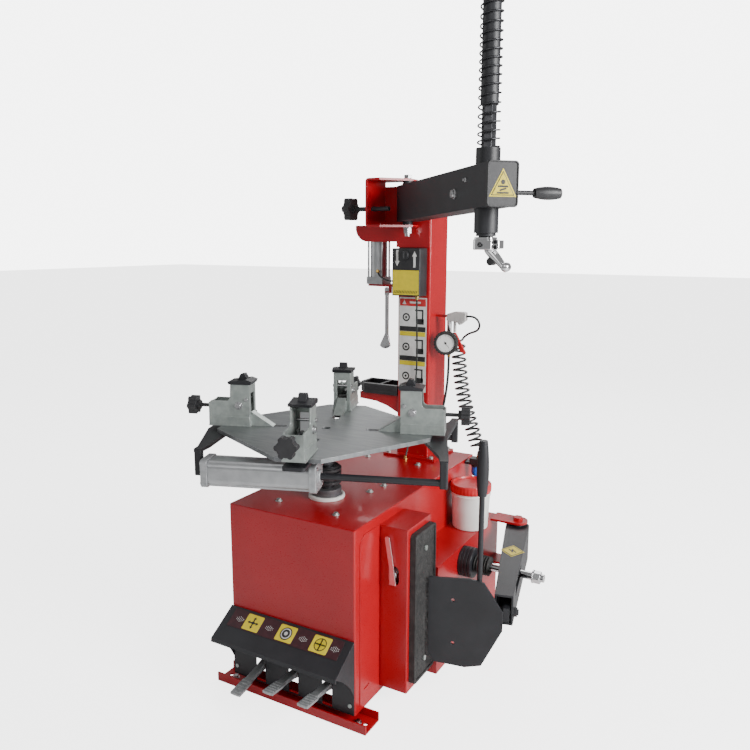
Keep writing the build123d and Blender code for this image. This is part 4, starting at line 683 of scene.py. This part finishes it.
# ---------------------------------------------------------------- printed plates
def hood_print():
    """Dark strip with three yellow pictograms above the pedals."""
    crest, lip = Vector((0, high("pedal_hood").y - 0.003, high("pedal_hood").z)), Vector((0, -0.538, 0.202))
    down = (lip - crest).normalized()
    normal = Vector((1, 0, 0)).cross(-down)
    at = basis(crest + down * 0.034, normal, (1, 0, 0))
    shapes = [(rounded(0.400, 0.060, 0.002), MAROON, 0)]
    centres = [middle(node).x for node in ("pedal_left", "pedal_middle", "pedal_right")]
    for x in centres:
        shapes.append((shifted(rounded(0.060, 0.052, 0.004), x, 0), YELLOW, 1))
    arrow = [(-0.0022, 0.004), (0.0022, 0.004), (0.0022, 0.012), (0.0055, 0.012), (0, 0.020),
             (-0.0055, 0.012), (-0.0022, 0.012)]
    for turn in (0, 90, 180, 270):
        shapes.append((shifted(arrow, centres[0], 0, turn), INK, 2))
        shapes.append((shifted(rounded(0.0042, 0.034, 0.001), centres[2], 0, turn), INK, 4))
    shapes.append((shifted(rounded(0.009, 0.009, 0.001), centres[0], 0), INK, 2))
    for x, rings in ((centres[1], ((0.020, INK), (0.0165, PRINT), (0.013, INK), (0.006, PRINT))),
                     (centres[2], ((0.020, INK), (0.0172, YELLOW)))):
        for level, (radius, finish) in enumerate(rings):
            shapes.append((shifted(polygon(radius, 32), x, 0), finish, 2 + level))
    left, centre, right = centres
    for x in ((left + centre) / 2, (centre + right) / 2, right + 0.050, left - 0.050):
        for i in range(5):
            rows = 4 - abs(i - 2)
            for j in range(rows):
                spot = shifted(polygon(0.0013, 8), x + 0.006 * (i - 2), 0.005 * (j - (rows - 1) / 2))
                shapes.append((spot, PRINT, 1))
    print_on("hood_print", at, shapes, "frame")


def column_print():
    """Picture panel of plain blocks on the column's front."""
    front = 0.289
    wide, tall, centre_x, centre_z = 0.112, 0.345, middle("control_box").x, 1.022
    at = basis((centre_x, front, centre_z), (0, -1, 0), (1, 0, 0))
    at = at if (at.to_3x3() @ Vector((0, 1, 0))).z > 0 else at @ Matrix.Rotation(math.pi, 4, "Z")
    shapes = [(rounded(wide, tall, 0.003), PRINT, 0),
              (shifted(rounded(wide - 0.008, 0.026, 0.001), 0, 0.154), SIGNAL, 1),
              (shifted([(-0.008, -0.007), (0.008, -0.007), (0, 0.008)], -0.034, 0.154), PRINT, 2),
              (shifted(rounded(0.044, 0.007, 0.001), 0.010, 0.154), PRINT, 2)]
    for row in range(3):
        y = 0.100 - 0.108 * row
        shapes += [(shifted(rounded(0.030, 0.020, 0.001), 0.030, y - 0.014), INK, 1),
                   (shifted(rounded(0.006, 0.046, 0.001), 0.040, y + 0.006), INK, 1),
                   (shifted(rounded(0.034, 0.005, 0.001), 0.026, y + 0.026), INK, 1),
                   (shifted(polygon(0.0150, 28), -0.026, y), INK, 1),
                   (shifted(polygon(0.0095, 28), -0.026, y), PRINT, 2),
                   (shifted(polygon(0.0045, 28), -0.026, y), INK, 3)]
        if row < 2:
            shapes += [(shifted(rounded(wide - 0.008, 0.018, 0.001), 0, y - 0.042), INK, 1),
                       (shifted(rounded(wide - 0.008, 0.016, 0.001), 0, y - 0.060), YELLOW, 1)]
    print_on("column_print", at, shapes, "frame")


def control_print():
    """Yellow panel, up and down arrows and a row of slanted dashes on the lift valve box."""
    box_low, box_high = low("control_box"), high("control_box")
    knob = middle("valve_knob")
    at = Matrix.Translation((0, box_low.y, 0)) @ Matrix.Rotation(math.pi / 2, 4, "X")
    centre = (box_low.x + box_high.x) / 2
    down = [(-0.0045, 0.030), (0.0045, 0.030), (0.0045, -0.008), (0.0095, -0.008), (0, -0.026),
            (-0.0095, -0.008), (-0.0045, -0.008)]
    shapes = [(shifted(rounded(0.102, 0.086, 0.002), centre, box_low.z + 0.047), YELLOW, 0),
              (shifted(down, centre - 0.034, knob.z - 0.012), PRINT, 2),
              (shifted(down, centre + 0.034, knob.z - 0.012, 180), PRINT, 2)]
    for i in range(15):
        dash = rounded(0.0022, 0.011, 0.0006)
        shapes.append((shifted(dash, centre - 0.044 + 0.0062 * i, box_low.z + 0.014, -25), INK, 1))
    print_on("control_print", at, shapes, "frame")


def bead_print():
    """Yellow diamond on the bead arm's sloping top."""
    along_arm = -BLADE_SIDE.cross(UP)
    if along_arm.dot(BLADE_PIN - BEAD_PIVOT) < 0:
        along_arm = -along_arm
    rear, tip = 0.390, 0.356
    station = 0.215
    slope = (tip - rear) / 0.435
    spot = Vector((BEAD_PIVOT.x, BEAD_PIVOT.y, rear + slope * (station - 0.060))) + along_arm * station
    along_top = (along_arm + UP * slope).normalized()
    normal = along_top.cross(BLADE_SIDE)
    normal = normal if normal.z > 0 else -normal
    at = basis(spot, normal, along_top)
    diamond = polygon(0.040, 4)
    shapes = [(diamond, YELLOW, 0), ([(x * 0.9, y * 0.9) for x, y in diamond], INK, 1),
              ([(x * 0.8, y * 0.8) for x, y in diamond], YELLOW, 2), (rounded(0.022, 0.006, 0.001), INK, 3),
              (shifted(rounded(0.018, 0.004, 0.001), 0.004, 0.008, 35), INK, 3),
              (shifted(rounded(0.018, 0.004, 0.001), -0.004, -0.008, 35), INK, 3)]
    print_on("bead_print", at, shapes, "bead_arm")


hood_print()
column_print()
control_print()
bead_print()


# ---------------------------------------------------------------- bead breaker side
def wheel_pad():
    """Moulded rubber pad: flat rim and cast pebbled field."""
    box_low, box_high = low("bead_pad"), high("bead_pad")
    wide, tall = box_high.y - box_low.y, box_high.z - box_low.z
    thick = box_high.x - box_low.x
    at = basis((box_low.x, (box_low.y + box_high.y) / 2, (box_low.z + box_high.z) / 2), (1, 0, 0), (0, 1, 0))

    def pad(bm):
        rim, across, up = 0.009, 44, 150
        add_prism(bm, at, rounded(wide, tall, 0.012), thick - 0.004)
        outer, inner = rounded(wide, tall, 0.012), rounded(wide - 2 * rim, tall - 2 * rim, 0.006)
        rows = [(outer, thick - 0.0041), (outer, thick - 0.0008),
                ([(x * 0.988, y * 0.996) for x, y in outer], thick), (inner, thick), (inner, thick - 0.0041)]
        skin(bm, [[bm.verts.new(at @ Vector((x, y, z))) for x, y in row] for row, z in rows], closed=True)
        grid = []
        for i in range(across + 1):
            column = []
            for j in range(up + 1):
                x, y = (i / across - 0.5) * (wide - 2 * rim), (j / up - 0.5) * (tall - 2 * rim)
                swirl = noise.noise(Vector((x * 30, y * 30, 4)))
                pebble = noise.noise(Vector((x, y, 0)) * 160)
                relief = 0.0016 * math.sin(330 * x + 210 * y + 7 * swirl) + 0.0010 * pebble
                fade = min(1, 40 * (0.5 - abs(i / across - 0.5)), 60 * (0.5 - abs(j / up - 0.5)))
                column.append(bm.verts.new(at @ Vector((x, y, thick - 0.0034 + fade * relief))))
            grid.append(column)
        for i in range(across):
            for j in range(up):
                bm.faces.new((grid[i][j], grid[i + 1][j], grid[i + 1][j + 1], grid[i][j + 1]))
    finish_piece("wheel_pad", as_mesh("wheel_pad", pad), "frame", RUBBER, ("bead_pad",))


def bead_cylinder():
    """Bead cylinder: bright barrel, black ribbed head and rubber bellows on the rod."""
    centre = middle("bead_cylinder")
    start, end = low("bead_cylinder").x, high("bead_cylinder").x
    origin = Vector((start, centre.y, centre.z))
    lathe("bead_barrel", origin, (1, 0, 0), [(0, 0), (0.047, 0), (0.047, 0.262), (0, 0.262)], "frame", ALU,
          ("bead_cylinder",))
    profile = [(0.0135, 0.262), (0.0485, 0.262)]
    for i in range(4):
        x = 0.265 + 0.0115 * i
        profile += [(0.050, x), (0.050, x + 0.0085), (0.0472, x + 0.0090), (0.0472, x + 0.0110)]
    profile += [(0.0135, 0.311)]
    at = basis(origin, (1, 0, 0))
    ribs = as_mesh("bead_head", lambda bm: add_lathe(bm, at, profile, 56, ring=True))
    finish_piece("bead_head", ribs, "frame", BLACK)
    folds = 6
    boot = [(0.0138, 0.312)]
    for i in range(folds):
        x = 0.312 + 0.0088 * i
        boot += [(0.0245, x), (0.0320, x + 0.0036), (0.0320, x + 0.0050), (0.0245, x + 0.0086)]
    boot += [(0.0200, end - start - 0.001), (0.0138, end - start - 0.001)]
    finish_piece("rod_boot", as_mesh("rod_boot", lambda bm: add_lathe(bm, at, boot, 56, ring=True)), "frame",
                 RUBBER)


def bucket():
    """White tub of lubricant with its rim bead, and a ribbed red snap lid."""
    centre, floor, roof = middle("lubricant_bucket"), low("lubricant_bucket").z, high("lubricant_bucket").z
    wide = (high("lubricant_bucket").x - low("lubricant_bucket").x) / 2
    place = (centre.x, centre.y, 0)
    tub = [(0, floor), (0.058, floor), (0.0615, floor + 0.002), (0.0620, floor + 0.006),
           (0.0672, floor + 0.118), (0.0695, floor + 0.119), (0.0698, floor + 0.123), (0.0678, floor + 0.125),
           (0.0680, roof - 0.020), (0, roof - 0.020)]
    lathe("bucket_tub", place, UP, tub, "bucket", WHITE, ("lubricant_bucket",), 72)

    def lid(bm):
        steps = 144
        profile = ((0.0, roof - 0.006), (wide - 0.014, roof - 0.006), (wide - 0.012, roof - 0.001),
                   (wide - 0.008, roof), (wide - 0.003, roof - 0.002), (wide - 0.0005, roof - 0.007),
                   (wide - 0.0005, roof - 0.024), (wide - 0.002, roof - 0.031), (wide - 0.005, roof - 0.031),
                   (wide - 0.005, roof - 0.019), (0.0, roof - 0.019))
        rings = []
        for k, (radius, height) in enumerate(profile):
            outline = knurled(radius, steps, 0.0009 if 4 < k < 8 else 0.0) if radius else [(0, 0)]
            rings.append([bm.verts.new((centre.x + x, centre.y + y, height)) for x, y in outline])
        skin(bm, rings)
    finish_piece("bucket_lid", as_mesh("bucket_lid", lid), "bucket", LID)


def air_unit():
    """Filter unit: black head with its bracket, blue bowl and fitting."""
    centre, floor, roof = middle("frl_unit"), low("frl_unit").z, high("frl_unit").z
    x, y = 0.265, centre.y
    head, top = roof - 0.046, roof - 0.022

    def body(bm):
        add_prism(bm, basis((x, y, head), UP, (1, 0, 0)), rounded(0.042, 0.038, 0.005), top - head)
        add_lathe(bm, Matrix.Translation((x, y, 0)), [(0, head - 0.008), (0.0178, head - 0.008),
                  (0.0178, head + 0.001), (0, head + 0.001)], 40)
        add_prism(bm, basis((low("frl_unit").x, y, head + 0.0035), (1, 0, 0), (0, 1, 0)),
                  rectangle(0.030, 0.009), 0.022)
    finish_piece("filter_head", as_mesh("filter_head", body), "frame", PLASTIC,
                 ("frl_unit",), bevel=0.0012, smooth=False)
    bowl = [(0, floor), (0.006, floor), (0.0075, floor + 0.003), (0.0125, floor + 0.005),
            (0.0160, floor + 0.012), (0.0168, floor + 0.020), (0.0168, head - 0.008), (0, head - 0.008)]
    lathe("filter_bowl", (x, y, 0), UP, bowl, "frame", BLUE)
    outlet = [(0, top), (0.0080, top), (0.0080, top + 0.006), (0.0062, top + 0.0065), (0.0062, top + 0.014),
              (0.0052, top + 0.016), (0.0052, roof), (0, roof)]
    lathe("filter_outlet", (x + 0.008, y, 0), UP, outlet, "frame", BRASS, steps=6)


def channel_bolts():
    """Washer and hexagon head at both ends of the two floor channels."""
    def bolts(bm):
        for x in (-0.230, 0.230):
            for y in (-0.424, 0.424):
                add_lathe(bm, Matrix.Translation((x, y, 0.005)),
                          [(0, 0), (0.011, 0), (0.011, 0.0016), (0, 0.0016)], 28)
                add_prism(bm, Matrix.Translation((x, y, 0.0066)), polygon(0.0080, 6, 0.4), 0.0065)
    finish_piece("channel_bolts", as_mesh("channel_bolts", bolts), "frame", STEEL, bevel=0.0008,
                 smooth=False)


wheel_pad()
bead_cylinder()
bucket()
air_unit()
channel_bolts()


# ---------------------------------------------------------------- tyre inflator
def inflator():
    """Inflator: chromed valve stem, grey cast head with its hook, and the guarded dial gauge."""
    stem_x, stem_y = 0.156, 0.343
    floor, roof = low("inflator_gun").z, high("inflator_gun").z
    stem = [(0, floor), (0.0055, floor), (0.0060, floor + 0.010), (0.0080, floor + 0.012),
            (0.0085, floor + 0.018), (0.0085, floor + 0.034), (0.0068, floor + 0.036),
            (0.0068, floor + 0.076), (0.0085, floor + 0.079), (0.0085, floor + 0.128), (0, floor + 0.130)]
    lathe("inflator_stem", (stem_x, stem_y, 0), UP, stem, "frame", CHROME, ("inflator_gun",))
    upright = Matrix.Rotation(math.pi / 2, 4, "X")

    def head(bm):
        outline = [(0.148, roof - 0.032), (0.156, roof - 0.034), (0.188, roof - 0.036), (0.199, roof - 0.047),
                   (0.222, roof - 0.029), (0.222, roof - 0.003), (0.216, roof), (0.178, roof),
                   (0.150, roof - 0.009)]
        add_prism(bm, Matrix.Translation((0, 0.354, 0)) @ upright, outline, 0.024)
        lug = shifted(rounded(0.008, 0.046, 0.002), 0.178, roof - 0.051)
        add_prism(bm, Matrix.Translation((0, 0.348, 0)) @ upright, lug, 0.012)
    finish_piece("inflator_head", as_mesh("inflator_head", head), "frame", PALE, bevel=0.0028,
                 smooth=False)
    nut = [(0, -0.004), (0.0075, -0.004), (0.0075, 0.0015), (0.0046, 0.0024), (0, 0.0024)]
    lathe("hose_nut", (0.2195, 0.342, roof - 0.015), (1, 0, 0.03), nut, "frame", BRASS, steps=6)
    facing = Vector((math.cos(math.radians(-78)), math.sin(math.radians(-78)), 0))
    back = Vector((0.159, 0.316, 1.036))
    at = basis(back, facing, UP)
    wide = 0.044

    def guard(bm):
        steps = 96
        profile = ((0.024, 0.0005), (wide - 0.003, 0.0005), (wide, 0.004), (wide, 0.021),
                   (wide - 0.003, 0.0255), (wide - 0.011, 0.0255), (wide - 0.0125, 0.0215), (0.024, 0.0215))
        rings = []
        for k, (radius, depth) in enumerate(profile):
            outline = knurled(radius, steps, 0.0018 if 0 < k < 5 else 0.0)
            rings.append([bm.verts.new(at @ Vector((x, y, depth))) for x, y in outline])
        skin(bm, rings, closed=True)
    finish_piece("gauge_guard", as_mesh("gauge_guard", guard), "frame", RUBBER)
    lathe("gauge_boss", (stem_x + 0.001, 0.344, 1.036), (0, -1, 0),
          [(0, 0), (0.009, 0), (0.009, 0.026), (0, 0.026)], "frame", BRASS)
    shapes = [(polygon(wide - 0.0115, 64), DIAL, 0), (polygon(0.0042, 24), INK, 3)]
    for i in range(31):
        angle = 225 - 9 * i
        long_tick = i % 5 == 0
        size = rectangle(0.0048 if long_tick else 0.0026, 0.0010 if long_tick else 0.0005)
        reach = 0.0270 if long_tick else 0.0282
        turn = math.radians(angle)
        shapes.append((shifted(size, reach * math.cos(turn), reach * math.sin(turn), angle), INK, 1))
    needle = [(-0.007, -0.0011), (0.022, -0.0004), (0.022, 0.0004), (-0.007, 0.0011)]
    shapes.append((shifted(needle, 0, 0, 218), INK, 2))
    print_on("gauge_dial", at @ Matrix.Translation((0, 0, 0.0214)), shapes, "frame")


def small_fittings():
    """Push-in elbows of the thin hoses on the valve box, the lift cylinder and the cabinet top."""
    def elbows(bm):
        for place, axis in (((-0.020, 0.262, 1.252), (-1, 0, 0)), ((-0.112, 0.2935, 1.283), (0.3, -1, 0.2)),
                            ((0.070, 0.250, 1.203), (0, 0, -1)), ((0.032, 0.248, 0.600), (0, 0, 1)),
                            ((0.109, 0.328, 0.640), (0.05, 0, 1)), ((0.156, 0.343, 0.994), (0, 0, -1))):
            reach = basis(place, axis)
            add_prism(bm, reach, polygon(0.0072, 6), 0.006)
            add_lathe(bm, reach, [(0, 0.006), (0.0056, 0.006), (0.0056, 0.013), (0.0045, 0.014), (0, 0.014)],
                      20)
    finish_piece("hose_fittings", as_mesh("hose_fittings", elbows), "frame", BRASS, smooth=False)


inflator()
small_fittings()


# ---------------------------------------------------------------- floor and light
STUDIO_LIGHT, BACKDROP, FLOOR_GLOW = 0.33, 6.0, 3.2
LAMPS = (("key", (3.9, -0.6, 2.2), 2.0, 290), ("front", (0.8, -4.4, 3.2), 2.6, 34),
         ("left", (-3.6, -1.6, 2.4), 2.6, 26), ("back", (-1.0, 3.6, 3.4), 2.4, 70))


def stage_and_light():
    """Plain pale floor and soft studio light, strongest from the right."""
    slab = rectangle(60, 60)
    mesh = as_mesh("floor", lambda bm: add_prism(bm, Matrix.Translation((0, 0, -0.02)), slab, 0.019))
    floor = bpy.data.objects.new("floor", mesh)
    scene.collection.objects.link(floor)
    paint = finish_of("floor_paint", (0.86, 0.86, 0.86), (0.84, 0.84, 0.84), (0.7, 0.9), patch=1.5, grain=60,
                      bump=0.02)
    nodes, link = paint.node_tree.nodes, paint.node_tree.links.new
    seen, glow = nodes.new("ShaderNodeLightPath"), nodes.new("ShaderNodeMath")
    glow.operation = "MULTIPLY"
    glow.inputs[1].default_value = FLOOR_GLOW
    link(seen.outputs["Is Camera Ray"], glow.inputs[0])
    link(glow.outputs["Value"], nodes["Principled BSDF"].inputs["Emission Strength"])
    nodes["Principled BSDF"].inputs["Emission Color"].default_value = (1, 1, 1, 1)
    mesh.materials.append(paint)
    world = bpy.data.worlds.new("studio")
    world.use_nodes = True
    tree = world.node_tree
    light = tree.nodes["Background"]
    light.inputs["Color"].default_value = (1, 1, 1, 1)
    light.inputs["Strength"].default_value = STUDIO_LIGHT
    backdrop = tree.nodes.new("ShaderNodeBackground")
    backdrop.inputs["Color"].default_value = (1, 1, 1, 1)
    backdrop.inputs["Strength"].default_value = BACKDROP
    path = tree.nodes.new("ShaderNodeLightPath")
    seen = tree.nodes.new("ShaderNodeMixShader")
    tree.links.new(path.outputs["Is Camera Ray"], seen.inputs["Fac"])
    tree.links.new(light.outputs["Background"], seen.inputs[1])
    tree.links.new(backdrop.outputs["Background"], seen.inputs[2])
    tree.links.new(seen.outputs["Shader"], tree.nodes["World Output"].inputs["Surface"])
    scene.world = world
    for name, place, size, power in LAMPS:
        lamp = bpy.data.lights.new(name, "AREA")
        lamp.size = size
        lamp.energy = power
        lamp_object = bpy.data.objects.new(name, lamp)
        aim = Vector((0.1, 0, 0.9)) - Vector(place)
        turn = aim.to_track_quat("-Z", "Y").to_matrix().to_4x4()
        lamp_object.matrix_world = Matrix.Translation(place) @ turn
        scene.collection.objects.link(lamp_object)


stage_and_light()
